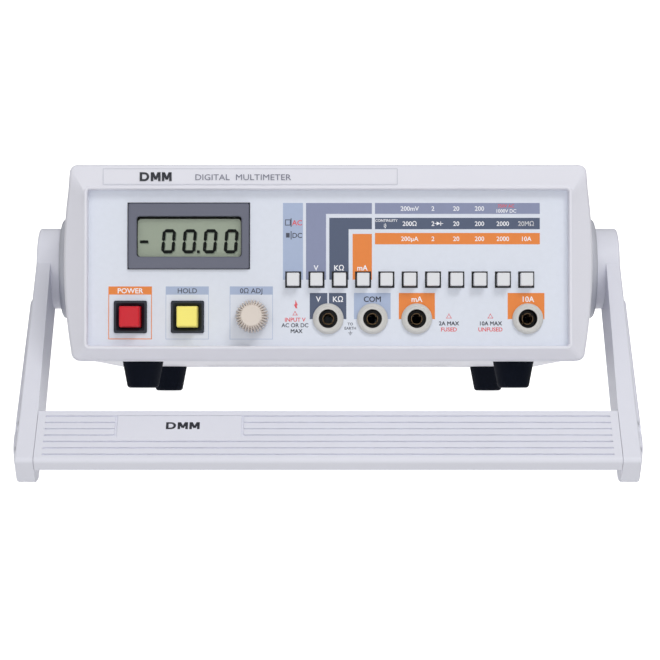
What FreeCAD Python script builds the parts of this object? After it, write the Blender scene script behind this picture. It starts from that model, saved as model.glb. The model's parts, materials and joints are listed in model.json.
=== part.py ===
import FreeCAD, Part
import math
import os
import Sketcher
from types import SimpleNamespace

# Bench multimeter, in millimetres.  Everything is laid out on the level case: X to the right seen from
# the front, Y back from the face of the front panel, Z up from the underside of the case.  The last
# section swings the whole assembly back onto its handle and its rear feet.

doc = FreeCAD.newDocument("BenchMultimeter")

# ---------------------------------------------------------------- driving dimensions
SIZES = {
    # case
    "case_width": 219.0, "case_height": 84.0, "case_back": 213.0, "cover_wall": 2.5,
    "cover_inset": 0.8, "cover_corner": 5.0, "seam_level": 42.0,
    "vent_count": 9, "vent_pitch": 7.0, "vent_width": 2.6, "vent_length": 120.0, "vent_first": 130.0,
    # front bezel
    "bezel_top_side": 0.3, "bezel_low_side": -0.3, "bezel_bulge": 2.9, "bezel_proud": 4.5,
    "bezel_back": 11.5, "bezel_top_corner": 3.5, "bezel_low_corner": 5.0, "bezel_edge": 1.2,
    "side_bar": 6.4, "low_bar": 6.3, "top_bar": 10.5, "opening_slope": 3.0,
    "opening_corner": 1.5, "strip_inset": 13.1, "strip_length": 126.1, "strip_drop": 1.6,
    "strip_height": 7.0, "strip_depth": 0.3, "strip_corner": 1.2,
    # front panel
    "panel_thickness": 2.0, "panel_overlap": 2.2, "panel_gap": 0.3,
    # display
    "display_inset": 17.4, "display_width": 51.7, "display_drop": 5.9, "display_height": 28.0,
    "display_proud": 1.6, "display_bevel": 0.6, "window_left": 3.6, "window_right": 3.2,
    "window_low": 5.1, "window_high": 5.5, "window_lip": 1.0, "window_gap": 0.1,
    "window_back": 1.2, "window_thickness": 1.5, "collar_wall": 1.1, "collar_back": 6.0,
    "glass_thickness": 2.8, "board_thickness": 1.6, "display_board_gap": 1.2,
    "display_board_margin": 6.0, "cutout_gap": 0.1,
    # square push switches
    "power_x": -84.8, "hold_x": -60.3, "switch_level": 18.9, "surround_width": 14.2,
    "surround_height": 13.9, "surround_proud": 1.2, "sleeve_wall": 0.7, "sleeve_back": 6.0,
    "button_size": 9.2, "button_gap": 0.35, "button_proud": 7.5, "button_back": 1.2,
    "button_travel": 3.5, "button_crown": 0.8, "stem_size": 5.0, "stem_gap": 0.2,
    "stem_back": 13.0, "switch_body_size": 13.0, "switch_body_back": 24.0,
    # zero adjustment
    "knob_x": -32.65, "knob_level": 19.1, "knob_diameter": 14.2, "knob_proud": 12.0,
    "knob_gap": 1.0, "knob_wall": 3.0, "knob_edge": 0.8, "flute_count": 36, "flute_radius": 0.42,
    "shaft_diameter": 6.0, "shaft_fit": 0.05, "shaft_hole_gap": 0.5, "shaft_back": 11.0,
    "pot_front": 3.0, "pot_size": 16.0, "pot_back": 13.0,
    # keys
    "key_count": 11, "key_first": -15.0, "key_pitch": 10.0, "key_level": 34.9, "key_width": 5.3,
    "key_height": 5.5, "key_hole_gap": 0.6, "key_proud": 5.0, "key_back": 1.0, "key_travel": 3.0,
    "key_stem": 3.0, "key_stem_gap": 0.2, "key_stem_back": 14.0, "key_edge": 0.4,
    "bank_front": 6.0, "bank_back": 22.0, "bank_height": 9.0, "bank_margin": 6.0,
    # jacks
    "jack_volts": 0.0, "jack_common": 19.0, "jack_current": 38.0, "jack_ten_amp": 85.6,
    "jack_level": 18.1, "collar_lip": 1.1, "collar_proud": 2.2,
    "jack_wall": 0.9, "jack_bore": 8.0, "insert_wall": 0.6, "insert_front": 1.8,
    "insert_floor": 10.0, "jack_back": 14.0, "contact_wall": 0.5, "contact_bore": 4.0,
    "contact_front": 1.0, "contact_bore_back": 18.0, "contact_back": 24.0,
    "nut_wall": 2.0, "nut_thickness": 3.0,
    # boards and what stands on them
    "board_width": 180.0, "board_front": 32.0, "board_rear_gap": 10.0, "board_level": 11.0,
    "standoff_diameter": 7.0, "standoff_inset": 8.0, "transformer_x": 62.0, "transformer_y": 165.0,
    "transformer_width": 48.0, "transformer_depth": 40.0, "transformer_height": 40.0,
    "core_margin": 8.0, "capacitor_x": 15.0, "capacitor_y": 160.0, "capacitor_pitch": 22.0,
    "capacitor_diameter": 16.0, "capacitor_height": 26.0, "chip_x": -30.0, "chip_y": 95.0,
    "chip_width": 14.0, "chip_length": 50.0, "chip_height": 4.0, "chip_pitch": 26.0,
    "fuse_x": 42.0, "fuse_y": 62.0, "fuse_diameter": 6.3, "fuse_length": 32.0, "fuse_lift": 2.0,
    "shunt_x": 84.0, "shunt_y": 60.0, "shunt_span": 26.0, "shunt_height": 16.0,
    "shunt_width": 5.0, "shunt_thickness": 2.0,
    # rear panel and its fittings
    "rear_recess": 5.0, "rear_thickness": 2.0, "rear_gap": 0.3, "inlet_x": -68.0,
    "inlet_level": 42.0, "flange_width": 31.0, "flange_height": 24.0, "flange_proud": 3.0,
    "inlet_width": 27.6, "inlet_height": 20.4, "inlet_depth": 22.0, "socket_width": 24.4,
    "socket_height": 16.4, "socket_depth": 16.5, "socket_corner": 4.2, "pin_width": 4.0,
    "pin_thickness": 2.0, "pin_length": 14.0, "pin_pitch": 7.0, "earth_offset": 3.0,
    "pin_tail": 6.0, "holder_x": -25.0, "holder_flange": 17.0, "holder_proud": 2.0,
    "holder_diameter": 12.6, "holder_depth": 34.0, "cap_diameter": 12.0, "cap_proud": 5.0,
    "cap_gap": 0.3, "plug_diameter": 8.0, "plug_fit": 0.06, "plug_length": 24.0,
    "cap_slot_width": 1.4, "cap_slot_depth": 1.5, "selector_x": 15.0, "selector_width": 27.0,
    "selector_height": 13.0, "selector_proud": 1.0, "selector_depth": 11.0, "slot_length": 15.0,
    "slot_height": 7.4, "slider_length": 9.0, "slider_height": 7.0, "slider_travel": 5.0,
    "slider_back": 4.0, "slider_slot": 1.2,
    # feet
    "foot_inset": 28.5, "foot_front_y": 22.0, "foot_rear_inset": 16.0, "foot_height": 12.1,
    "foot_top": 18.0, "foot_low": 13.4, "foot_edge": 1.5, "foot_recess": 6.6,
    "foot_recess_depth": 8.0, "foot_screw": 3.4, "foot_screw_head": 6.2, "foot_head_height": 2.4,
    "foot_screw_reach": 7.0, "foot_boss": 8.0,
    # case screws
    "post_inset": 11.5, "post_front": 40.0, "post_rear_inset": 27.0, "post_diameter": 9.0,
    "case_screw": 3.6, "case_screw_head": 7.0, "case_head_height": 2.4, "case_recess": 4.0,
    "case_screw_reach": 12.0, "case_head_gap": 0.3,
    # handle
    "pivot_y": 78.0, "pivot_level": 44.0, "stand_angle": 47.0, "hub_diameter": 46.0,
    "hub_thickness": 12.5, "hub_edge": 2.0, "boss_diameter": 37.0, "arm_gap": 0.3,
    "boss_thickness": 10.2, "arm_thin": 6.2, "arm_thick": 8.0, "arm_root_half": 15.0,
    "arm_front": 11.0, "arm_back": 11.0, "grip_near": 99.4, "grip_width": 28.7,
    "grip_thickness": 6.2, "toe_back": 3.4, "toe_run": 9.0, "toe_round": 6.0, "arm_corner": 2.0,
    "arm_edge": 1.0, "rail_proud": 1.8, "rail_near": 24.0, "rail_far": 118.0,
    "rail_half": 7.0, "rib_count": 7, "rib_pitch": 3.65, "rib_first": 1.05, "rib_groove": 0.9,
    "rib_depth": 0.8, "rib_margin": 3.5, "pivot_screw": 6.0, "pivot_fit": 0.06,
    "pivot_head": 14.0, "pivot_head_height": 3.0, "pivot_head_gap": 0.3, "pivot_reach": 8.0,
    "grip_screw": 3.0, "grip_screw_head": 5.6, "grip_head_height": 2.0, "grip_screw_reach": 14.0,
    "grip_screw_inset": 7.0,
}

sheet = doc.addObject("Spreadsheet::Sheet", "Sizes")
for row, (alias, number) in enumerate(SIZES.items(), start=1):
    sheet.set("A%d" % row, alias.replace("_", " "))
    sheet.set("B%d" % row, str(number))
    sheet.setAlias("B%d" % row, alias)
doc.recompute()


class Size:
    """A length worked out from the sheet: its expression, and the number it comes to."""

    def __init__(self, text, number):
        self.text = text
        self.number = number

    @staticmethod
    def of(thing):
        return thing if isinstance(thing, Size) else Size(repr(float(thing)), float(thing))

    def __add__(self, other):
        other = Size.of(other)
        return Size("(%s + %s)" % (self.text, other.text), self.number + other.number)

    def __sub__(self, other):
        other = Size.of(other)
        return Size("(%s - %s)" % (self.text, other.text), self.number - other.number)

    def __mul__(self, other):
        other = Size.of(other)
        return Size("(%s * %s)" % (self.text, other.text), self.number * other.number)

    def __truediv__(self, other):
        other = Size.of(other)
        return Size("(%s / %s)" % (self.text, other.text), self.number / other.number)

    def __radd__(self, other):
        return Size.of(other) + self

    def __rsub__(self, other):
        return Size.of(other) - self

    def __rmul__(self, other):
        return Size.of(other) * self

    def __neg__(self):
        return Size.of(0) - self

    def root(self):
        return Size("sqrt(%s)" % self.text, math.sqrt(self.number))


S = SimpleNamespace(**{alias: Size("Sizes." + alias, float(sheet.get(alias))) for alias in SIZES})

# ---------------------------------------------------------------- helpers
# Which origin plane a step along each axis is drawn on, and which way that plane faces.
PLANES = {"x": ("YZ_Plane", 1), "y": ("XZ_Plane", -1), "z": ("XY_Plane", 1)}
TURNS = {"x": (FreeCAD.Vector(0, 1, 0), 90), "y": (FreeCAD.Vector(1, 0, 0), -90),
         "z": (FreeCAD.Vector(0, 0, 1), 0)}
nodes = {}


def bind(thing, path, size):
    """Tie one property of an object to the sheet."""
    thing.setExpression(path, Size.of(size).text)


def block(x, y, z):
    """A box from its three spans, each (low, high)."""
    solid = doc.addObject("Part::Box", "Block")
    for length, axis, (low, high) in (("Length", "x", x), ("Width", "y", y), ("Height", "z", z)):
        bind(solid, length, high - low)
        bind(solid, "Placement.Base." + axis, low)
    return solid


def rod(axis, span, centre, diameter):
    """A cylinder along an axis; centre is its place on the other two axes, in x, y, z order."""
    solid = doc.addObject("Part::Cylinder", "Rod")
    solid.Placement.Rotation = FreeCAD.Rotation(*TURNS[axis])
    bind(solid, "Radius", Size.of(diameter) / 2)
    bind(solid, "Height", span[1] - span[0])
    places = list(centre)
    places.insert("xyz".index(axis), span[0])
    for name, place in zip("xyz", places):
        bind(solid, "Placement.Base." + name, place)
    return solid


def fuse(*solids):
    joined = doc.addObject("Part::MultiFuse", "Fuse")
    joined.Shapes = list(solids)
    return joined


def cut(base, *tools):
    rest = doc.addObject("Part::Cut", "Cut")
    rest.Base = base
    rest.Tool = tools[0] if len(tools) == 1 else fuse(*tools)
    return rest


def node(label, *solids):
    """A sub-part made of one solid, or of several alike, under its own label."""
    group = doc.addObject("Part::Compound", label)
    group.Label = label
    group.Links = list(solids)
    nodes[label] = group
    return group


def new_body(label):
    body = doc.addObject("PartDesign::Body", label)
    body.Label = label
    nodes[label] = body
    return body


def step(body, kind, axis, span, draw):
    """Pad or Pocket what draw puts in a sketch, from one place along an axis to another."""
    role, facing = PLANES[axis]
    plane = next(item for item in body.Origin.OriginFeatures if item.Role == role)
    sketch = body.newObject("Sketcher::SketchObject", "Sketch")
    sketch.AttachmentSupport = [(plane, "")]
    sketch.MapMode = "FlatFace"
    starts_low = (facing > 0) == (kind == "Pad")
    bind(sketch, "AttachmentOffset.Base.z", facing * Size.of(span[0] if starts_low else span[1]))
    draw(sketch)
    feature = body.newObject("PartDesign::" + kind, kind)
    feature.Profile = sketch
    bind(feature, "Length", span[1] - span[0])
    sketch.Visibility = False
    return feature


def pad(body, axis, span, draw):
    return step(body, "Pad", axis, span, draw)


def pocket(body, axis, span, draw):
    """A Pocket, with a check that it took something away."""
    doc.recompute()
    before = body.Shape.Volume
    feature = step(body, "Pocket", axis, span, draw)
    doc.recompute()
    if body.Shape.Volume > before - 1e-6:
        raise ValueError("a pocket in %s cuts nothing" % body.Label)
    return feature


def fix_point(sketch, item, end, x, y):
    """Hold one point of a sketch at x, y."""
    for kind, place in (("DistanceX", x), ("DistanceY", y)):
        place = Size.of(place)
        index = sketch.addConstraint(Sketcher.Constraint(kind, -1, 1, item, end, place.number))
        bind(sketch, "Constraints[%d]" % index, place)


def outline(sketch, corners, bulges=()):
    """A closed outline through corners; bulges gives an arc's rise for the sides that are bowed."""
    points = [(Size.of(x), Size.of(y)) for x, y in corners]
    rises = dict(bulges)
    first = sketch.GeometryCount
    for side, (start, stop) in enumerate(zip(points, points[1:] + points[:1])):
        low = FreeCAD.Vector(start[0].number, start[1].number, 0)
        high = FreeCAD.Vector(stop[0].number, stop[1].number, 0)
        if side in rises:
            out = (high - low).cross(FreeCAD.Vector(0, 0, 1)).normalize()
            crest = (low + high) / 2 + out * rises[side].number
            sketch.addGeometry(Part.Arc(low, crest, high))
        else:
            sketch.addGeometry(Part.LineSegment(low, high))
    for side, (start, stop) in enumerate(zip(points, points[1:] + points[:1])):
        item = first + side
        following = first + (side + 1) % len(points)
        # an arc runs anticlockwise, so on an anticlockwise outline its ends come in order too
        sketch.addConstraint(Sketcher.Constraint("Coincident", item, 2, following, 1))
        fix_point(sketch, item, 1, *start)
        if side in rises:
            across = stop[0] - start[0]
            up = stop[1] - start[1]
            chord = (across * across + up * up).root()
            radius = chord * chord / (8 * rises[side]) + rises[side] / 2
            index = sketch.addConstraint(Sketcher.Constraint("Radius", item, radius.number))
            bind(sketch, "Constraints[%d]" % index, radius)


def rectangle(sketch, x, y):
    outline(sketch, [(x[0], y[0]), (x[1], y[0]), (x[1], y[1]), (x[0], y[1])])


def circle(sketch, x, y, diameter):
    radius = Size.of(diameter) / 2
    middle = FreeCAD.Vector(Size.of(x).number, Size.of(y).number, 0)
    item = sketch.addGeometry(Part.Circle(middle, FreeCAD.Vector(0, 0, 1), radius.number))
    fix_point(sketch, item, 3, x, y)
    index = sketch.addConstraint(Sketcher.Constraint("Radius", item, radius.number))
    bind(sketch, "Constraints[%d]" % index, radius)


def ease(body, kind, size, wanted):
    """Fillet or Chamfer the edges of a body for which wanted(edge) is true."""
    doc.recompute()
    base = body.Tip
    names = ["Edge%d" % (i + 1) for i, edge in enumerate(base.Shape.Edges) if wanted(edge)]
    if not names:
        raise ValueError("no edge to ease on " + body.Label)
    feature = body.newObject("PartDesign::" + kind, kind)
    feature.Base = (base, names)
    bind(feature, "Radius" if kind == "Fillet" else "Size", size)
    doc.recompute()
    return feature


def runs_along(edge, axis):
    """Whether an edge is straight and parallel to an axis."""
    if not isinstance(edge.Curve, (Part.Line, Part.LineSegment)):
        return False
    return abs(abs(getattr(edge.tangentAt(edge.FirstParameter), axis)) - 1) < 1e-6


def lies_at(edge, axis, place):
    """Whether a whole edge lies in the plane across an axis at a place."""
    low = getattr(edge.BoundBox, axis.upper() + "Min")
    high = getattr(edge.BoundBox, axis.upper() + "Max")
    place = Size.of(place).number
    return abs(low - place) < 1e-4 and abs(high - place) < 1e-4


def around(centre, width):
    """The span of a given width about a centre."""
    return (centre - width / 2, centre + width / 2)


def grown(span, margin):
    return (span[0] - margin, span[1] + margin)


def sided(side, inner, outer):
    """The span from inner to outer on the right (1) or the left (-1) of the middle, low end first."""
    return (Size.of(inner), Size.of(outer)) if side > 0 else (-Size.of(outer), -Size.of(inner))


# ---------------------------------------------------------------- spans that several pieces share
case_half = S.case_width / 2
inside_half = case_half - S.cover_wall
opening_half = case_half - S.side_bar
opening_low = S.low_bar
opening_high = S.case_height - S.top_bar
panel_half = opening_half + S.panel_overlap
panel_z = grown((opening_low, opening_high), S.panel_overlap)
panel_y = (Size.of(0), S.panel_thickness)
display_x = (S.display_inset - opening_half, S.display_inset + S.display_width - opening_half)
display_top = opening_high - S.display_drop
display_z = (display_top - S.display_height, display_top)
window_x = (display_x[0] + S.window_left, display_x[1] - S.window_right)
window_z = (display_z[0] + S.window_low, display_z[1] - S.window_high)
collar_inside = S.window_lip + S.window_gap
collar_outside = collar_inside + S.collar_wall
surround_z = around(S.switch_level, S.surround_height)
sleeve_inside = S.button_size + 2 * S.button_gap
sleeve_outside = sleeve_inside + 2 * S.sleeve_wall
key_hole_width = S.key_width + 2 * S.key_hole_gap
key_hole_height = S.key_height + 2 * S.key_hole_gap
key_places = [S.key_first + index * S.key_pitch for index in range(SIZES["key_count"])]
jack_places = [S.jack_volts, S.jack_common, S.jack_current, S.jack_ten_amp]
insert_outside = S.jack_bore + 2 * S.insert_wall
jack_thread = insert_outside + 2 * S.jack_wall
contact_outside = S.contact_bore + 2 * S.contact_wall
rear_face = S.case_back - S.rear_recess
rear_inner = rear_face - S.rear_thickness
board_top = S.board_level + S.board_thickness
board_back = rear_inner - S.board_rear_gap
board_y = (S.board_front, board_back)
foot_x = case_half - S.foot_inset
foot_places = {"front": S.foot_front_y, "rear": S.case_back - S.foot_rear_inset}
post_x = case_half - S.post_inset
post_places = [(side * post_x, y) for side in (-1, 1)
               for y in (S.post_front, S.case_back - S.post_rear_inset)]
cover_floor = S.cover_inset + S.cover_wall
cover_roof = S.case_height - S.cover_inset - S.cover_wall
hub_outer = case_half + S.hub_thickness
boss_inner = hub_outer + S.arm_gap
arm_outer = boss_inner + S.boss_thickness
arm_inner_grip = arm_outer - S.arm_thick
arm_inner_top = arm_outer - S.arm_thin
rail_outer = arm_outer + S.rail_proud
grip_far = S.grip_near + S.grip_width


# ---------------------------------------------------------------- case
def front_bezel():
    """The moulded frame round the panel: bowed sides, a sloped lower bar and a seat behind for the panel."""
    body = new_body("front_bezel")
    low, top = case_half + S.bezel_low_side, case_half + S.bezel_top_side
    height = S.case_height
    front = -S.bezel_proud
    corners = [(-low, Size.of(0)), (low, Size.of(0)), (top, height), (-top, height)]
    bowed = [(1, S.bezel_bulge), (3, S.bezel_bulge)]
    pad(body, "y", (front, S.bezel_back), lambda sketch: outline(sketch, corners, bowed))
    ease(body, "Fillet", S.bezel_top_corner,
         lambda edge: runs_along(edge, "y") and lies_at(edge, "z", height))
    ease(body, "Fillet", S.bezel_low_corner,
         lambda edge: runs_along(edge, "y") and lies_at(edge, "z", 0))
    ease(body, "Fillet", S.bezel_edge, lambda edge: lies_at(edge, "y", front))
    opening_z = (opening_low, opening_high)
    pocket(body, "y", (front, S.bezel_back),
           lambda sketch: rectangle(sketch, (-opening_half, opening_half), opening_z))
    ease(body, "Fillet", S.opening_corner,
         lambda edge: runs_along(edge, "y") and abs(edge.CenterOfMass.x) < opening_half.number + 1e-3)
    ease(body, "Chamfer", S.opening_slope,
         lambda edge: lies_at(edge, "y", front) and lies_at(edge, "z", opening_low))
    seat_half = panel_half + S.panel_gap
    pocket(body, "y", (Size.of(0), S.bezel_back),
           lambda sketch: rectangle(sketch, (-seat_half, seat_half), grown(panel_z, S.panel_gap)))
    strip_x = (S.strip_inset - case_half, S.strip_inset + S.strip_length - case_half)
    strip_top = S.case_height - S.strip_drop
    pocket(body, "y", (front, front + S.strip_depth),
           lambda sketch: rectangle(sketch, strip_x, (strip_top - S.strip_height, strip_top)))
    strip_bottom = (front + S.strip_depth / 2).number
    ease(body, "Fillet", S.strip_corner,
         lambda edge: runs_along(edge, "y") and abs(edge.CenterOfMass.y - strip_bottom) < 1e-3
         and strip_x[0].number - 1 < edge.CenterOfMass.x < strip_x[1].number + 1)


def front_panel():
    body = new_body("front_panel")
    pad(body, "y", panel_y, lambda sketch: rectangle(sketch, (-panel_half, panel_half), panel_z))
    display_margin = collar_outside + S.cutout_gap
    pocket(body, "y", panel_y,
           lambda sketch: rectangle(sketch, grown(window_x, display_margin), grown(window_z, display_margin)))
    switch_hole = sleeve_outside + 2 * S.cutout_gap
    for place in (S.power_x, S.hold_x):
        pocket(body, "y", panel_y, lambda sketch: rectangle(
            sketch, around(place, switch_hole), around(S.switch_level, switch_hole)))
    knob_hole = S.shaft_diameter + 2 * S.shaft_hole_gap
    pocket(body, "y", panel_y, lambda sketch: circle(sketch, S.knob_x, S.knob_level, knob_hole))

    def jack_holes(sketch):
        for place in jack_places:
            circle(sketch, place, S.jack_level, jack_thread)

    pocket(body, "y", panel_y, jack_holes)
    first_key = pocket(body, "y", panel_y, lambda sketch: rectangle(
        sketch, around(S.key_first, key_hole_width), around(S.key_level, key_hole_height)))
    row = body.newObject("PartDesign::LinearPattern", "KeyHoles")
    row.Originals = [first_key]
    row.Direction = (first_key.Profile[0], ["H_Axis"])
    bind(row, "Length", S.key_pitch * (SIZES["key_count"] - 1))
    bind(row, "Occurrences", S.key_count)
    body.Tip = row


def vents(body, z):
    """A row of cooling slots through the flat of a cover."""
    slot_half = S.vent_length / 2
    first = pocket(body, "z", z, lambda sketch: rectangle(
        sketch, (-slot_half, slot_half), around(S.vent_first, S.vent_width)))
    row = body.newObject("PartDesign::LinearPattern", "Vents")
    row.Originals = [first]
    row.Direction = (first.Profile[0], ["V_Axis"])
    bind(row, "Length", S.vent_pitch * (SIZES["vent_count"] - 1))
    bind(row, "Occurrences", S.vent_count)
    body.Tip = row


def posts(diameter):
    def draw(sketch):
        for x, y in post_places:
            circle(sketch, x, y, diameter)
    return draw


def cover(label, z, opens_down):
    """Half of the case's tube: a trough with rounded long edges."""
    body = new_body(label)
    y = (S.bezel_back, S.case_back)
    outer_face, inner = (z[1], (z[0], z[1] - S.cover_wall)) if opens_down else (z[0], (z[0] + S.cover_wall, z[1]))
    pad(body, "y", y, lambda sketch: rectangle(sketch, (-case_half, case_half), z))
    ease(body, "Fillet", S.cover_corner,
         lambda edge: runs_along(edge, "y") and lies_at(edge, "z", outer_face))
    pocket(body, "y", y, lambda sketch: rectangle(sketch, (-inside_half, inside_half), inner))
    ease(body, "Fillet", S.cover_corner - S.cover_wall,
         lambda edge: runs_along(edge, "y") and abs(abs(edge.CenterOfMass.x) - inside_half.number) < 1e-3
         and abs(edge.CenterOfMass.z - outer_face.number) < S.cover_wall.number + 1e-3)
    return body


def top_cover():
    body = cover("top_cover", (S.seam_level, S.case_height - S.cover_inset), True)
    vents(body, (cover_roof, S.case_height - S.cover_inset))
    post_z = (S.seam_level, cover_roof + S.cover_wall / 2)
    pad(body, "z", post_z, posts(S.post_diameter))
    pocket(body, "z", (S.seam_level, S.seam_level + S.case_screw_reach),
           posts(S.case_screw))


def bottom_cover():
    body = cover("bottom_cover", (S.cover_inset, S.seam_level), False)
    vents(body, (S.cover_inset, cover_floor))
    post_z = (cover_floor - S.cover_wall / 2, S.seam_level)
    pad(body, "z", post_z, posts(S.post_diameter))
    boss_z = (cover_floor - S.cover_wall / 2, S.cover_inset + S.foot_screw_reach)
    for y in foot_places.values():
        for side in (-1, 1):
            pad(body, "z", boss_z, lambda sketch: circle(sketch, side * foot_x, y, S.foot_boss))
    # screw holes: a head's recess below, then the shank's bore
    head = S.case_screw_head + 2 * S.case_head_gap
    recess_top = S.cover_inset + S.case_recess
    pocket(body, "z", (recess_top, S.seam_level), posts(S.case_screw))
    pocket(body, "z", (S.cover_inset, recess_top), posts(head))
    for y in foot_places.values():
        for side in (-1, 1):
            pocket(body, "z", (S.cover_inset, S.cover_inset + S.foot_screw_reach),
                   lambda sketch: circle(sketch, side * foot_x, y, S.foot_screw))


def case_screws():
    screws = []
    head_bottom = S.cover_inset + S.case_recess - S.case_head_height
    for x, y in post_places:
        head = rod("z", (head_bottom, S.cover_inset + S.case_recess), (x, y), S.case_screw_head)
        shank_top = S.seam_level + S.case_screw_reach
        shank = rod("z", (S.cover_inset + S.case_recess, shank_top), (x, y), S.case_screw)
        screws.append(fuse(head, shank))
    node("case_screws", *screws)


def feet():
    """Four tapered rubber feet, each turned round its own screw."""
    screws = []
    for end, y in foot_places.items():
        for side, hand in ((-1, "left"), (1, "right")):
            body = new_body("foot_%s_%s" % (end, hand))
            x = side * foot_x
            base = S.cover_inset - S.foot_height
            top = S.cover_inset
            ceiling = base + S.foot_recess_depth
            plane = next(item for item in body.Origin.OriginFeatures if item.Role == "YZ_Plane")
            sketch = body.newObject("Sketcher::SketchObject", "Profile")
            sketch.AttachmentSupport = [(plane, "")]
            sketch.MapMode = "FlatFace"
            bind(sketch, "AttachmentOffset.Base.z", x)
            bore, recess = S.foot_screw / 2, S.foot_recess / 2
            outline(sketch, [(y + recess, base), (y + S.foot_low / 2, base), (y + S.foot_top / 2, top),
                             (y + bore, top), (y + bore, ceiling), (y + recess, ceiling)])
            axis = sketch.addGeometry(Part.LineSegment(FreeCAD.Vector(y.number, base.number, 0),
                                                       FreeCAD.Vector(y.number, top.number, 0)), True)
            fix_point(sketch, axis, 1, y, base)
            fix_point(sketch, axis, 2, y, top)
            turned = body.newObject("PartDesign::Revolution", "Revolution")
            turned.Profile = sketch
            turned.ReferenceAxis = (sketch, ["Axis0"])
            turned.Angle = 360
            ease(body, "Fillet", S.foot_edge,
                 lambda edge: lies_at(edge, "z", base) and edge.Length > 3.2 * S.foot_recess.number)
            head = rod("z", (ceiling - S.foot_head_height, ceiling), (x, y), S.foot_screw_head)
            shank_top = S.cover_inset + S.foot_screw_reach
            screws.append(fuse(head, rod("z", (ceiling, shank_top), (x, y), S.foot_screw)))
    node("foot_screws", *screws)


# ---------------------------------------------------------------- display
def display():
    frame = new_body("display_frame")
    front = -S.display_proud
    pad(frame, "y", (front, Size.of(0)), lambda sketch: rectangle(sketch, display_x, display_z))
    ease(frame, "Chamfer", S.display_bevel, lambda edge: lies_at(edge, "y", front))
    collar_y = (Size.of(0), S.collar_back)
    pad(frame, "y", collar_y, lambda sketch: rectangle(
        sketch, grown(window_x, collar_outside), grown(window_z, collar_outside)))
    pocket(frame, "y", (front, S.collar_back), lambda sketch: rectangle(sketch, window_x, window_z))
    window_y = (-S.window_thickness + S.window_back, S.window_back)
    pocket(frame, "y", (window_y[0], S.collar_back), lambda sketch: rectangle(
        sketch, grown(window_x, collar_inside), grown(window_z, collar_inside)))
    plate = (grown(window_x, S.window_lip), grown(window_z, S.window_lip))
    node("display_window", block(plate[0], window_y, plate[1]))
    glass_y = (S.window_back, S.window_back + S.glass_thickness)
    node("lcd_glass", block(plate[0], glass_y, plate[1]))
    board_start = S.collar_back + S.display_board_gap
    board_x = grown(window_x, S.display_board_margin)
    board = block(board_x, (board_start, board_start + S.board_thickness),
                  grown(window_z, S.display_board_margin))
    node("display_board", board)


# ---------------------------------------------------------------- push switches
def push_switch(name, x):
    """A square latching switch: its surround, its body behind the panel, and the button that moves."""
    surround = new_body(name + "_switch_surround")
    front = -S.surround_proud
    pad(surround, "y", (front, Size.of(0)),
        lambda sketch: rectangle(sketch, around(x, S.surround_width), surround_z))
    pad(surround, "y", (Size.of(0), S.sleeve_back), lambda sketch: rectangle(
        sketch, around(x, sleeve_outside), around(S.switch_level, sleeve_outside)))
    pocket(surround, "y", (front, S.sleeve_back), lambda sketch: rectangle(
        sketch, around(x, sleeve_inside), around(S.switch_level, sleeve_inside)))
    stem_hole = S.stem_size + 2 * S.stem_gap
    housing = block(around(x, S.switch_body_size), (S.sleeve_back, S.switch_body_back),
                    around(S.switch_level, S.switch_body_size))
    bore = block(around(x, stem_hole), (S.sleeve_back, S.stem_back + S.button_travel + S.stem_gap),
                 around(S.switch_level, stem_hole))
    node(name + "_switch_body", cut(housing, bore))
    button = new_body(name + "_button")
    pad(button, "y", (-S.button_proud, S.button_back), lambda sketch: rectangle(
        sketch, around(x, S.button_size), around(S.switch_level, S.button_size)))
    ease(button, "Fillet", S.button_crown,
         lambda edge: runs_along(edge, "y") or lies_at(edge, "y", -S.button_proud))
    pad(button, "y", (S.button_back, S.stem_back), lambda sketch: rectangle(
        sketch, around(x, S.stem_size), around(S.switch_level, S.stem_size)))


# ---------------------------------------------------------------- zero adjustment
def zero_adjustment():
    knob = new_body("zero_adjust_knob")
    front = -S.knob_proud
    centre = (S.knob_x, S.knob_level)
    pad(knob, "y", (front, -S.knob_gap), lambda sketch: circle(sketch, *centre, S.knob_diameter))
    ease(knob, "Fillet", S.knob_edge, lambda edge: lies_at(edge, "y", front))
    flute_y = (front, -S.knob_gap)
    pocket(knob, "y", (front + S.knob_wall, -S.knob_gap),
           lambda sketch: circle(sketch, *centre, S.shaft_diameter))
    flute = pocket(knob, "y", flute_y, lambda sketch: circle(
        sketch, S.knob_x + S.knob_diameter / 2, S.knob_level, 2 * S.flute_radius))
    ring = knob.newObject("PartDesign::PolarPattern", "Flutes")
    ring.Originals = [flute]
    axis_sketch = knob.newObject("Sketcher::SketchObject", "TurningAxis")
    plane = next(item for item in knob.Origin.OriginFeatures if item.Role == "XZ_Plane")
    axis_sketch.AttachmentSupport = [(plane, "")]
    axis_sketch.MapMode = "FlatFace"
    bind(axis_sketch, "AttachmentOffset.Base.x", S.knob_x)
    bind(axis_sketch, "AttachmentOffset.Base.y", S.knob_level)
    ring.Axis = (axis_sketch, ["N_Axis"])
    ring.Angle = 360
    bind(ring, "Occurrences", S.flute_count)
    knob.Tip = ring
    shaft = rod("y", (front + S.knob_wall, S.shaft_back), centre, S.shaft_diameter)
    node("zero_adjust_shaft", shaft)
    housing = block(around(S.knob_x, S.pot_size), (S.pot_front, S.pot_back),
                    around(S.knob_level, S.pot_size))
    bore = rod("y", (S.pot_front, S.shaft_back + S.shaft_hole_gap), centre,
               S.shaft_diameter + 2 * S.shaft_fit)
    node("zero_adjust_pot", cut(housing, bore))


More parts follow.
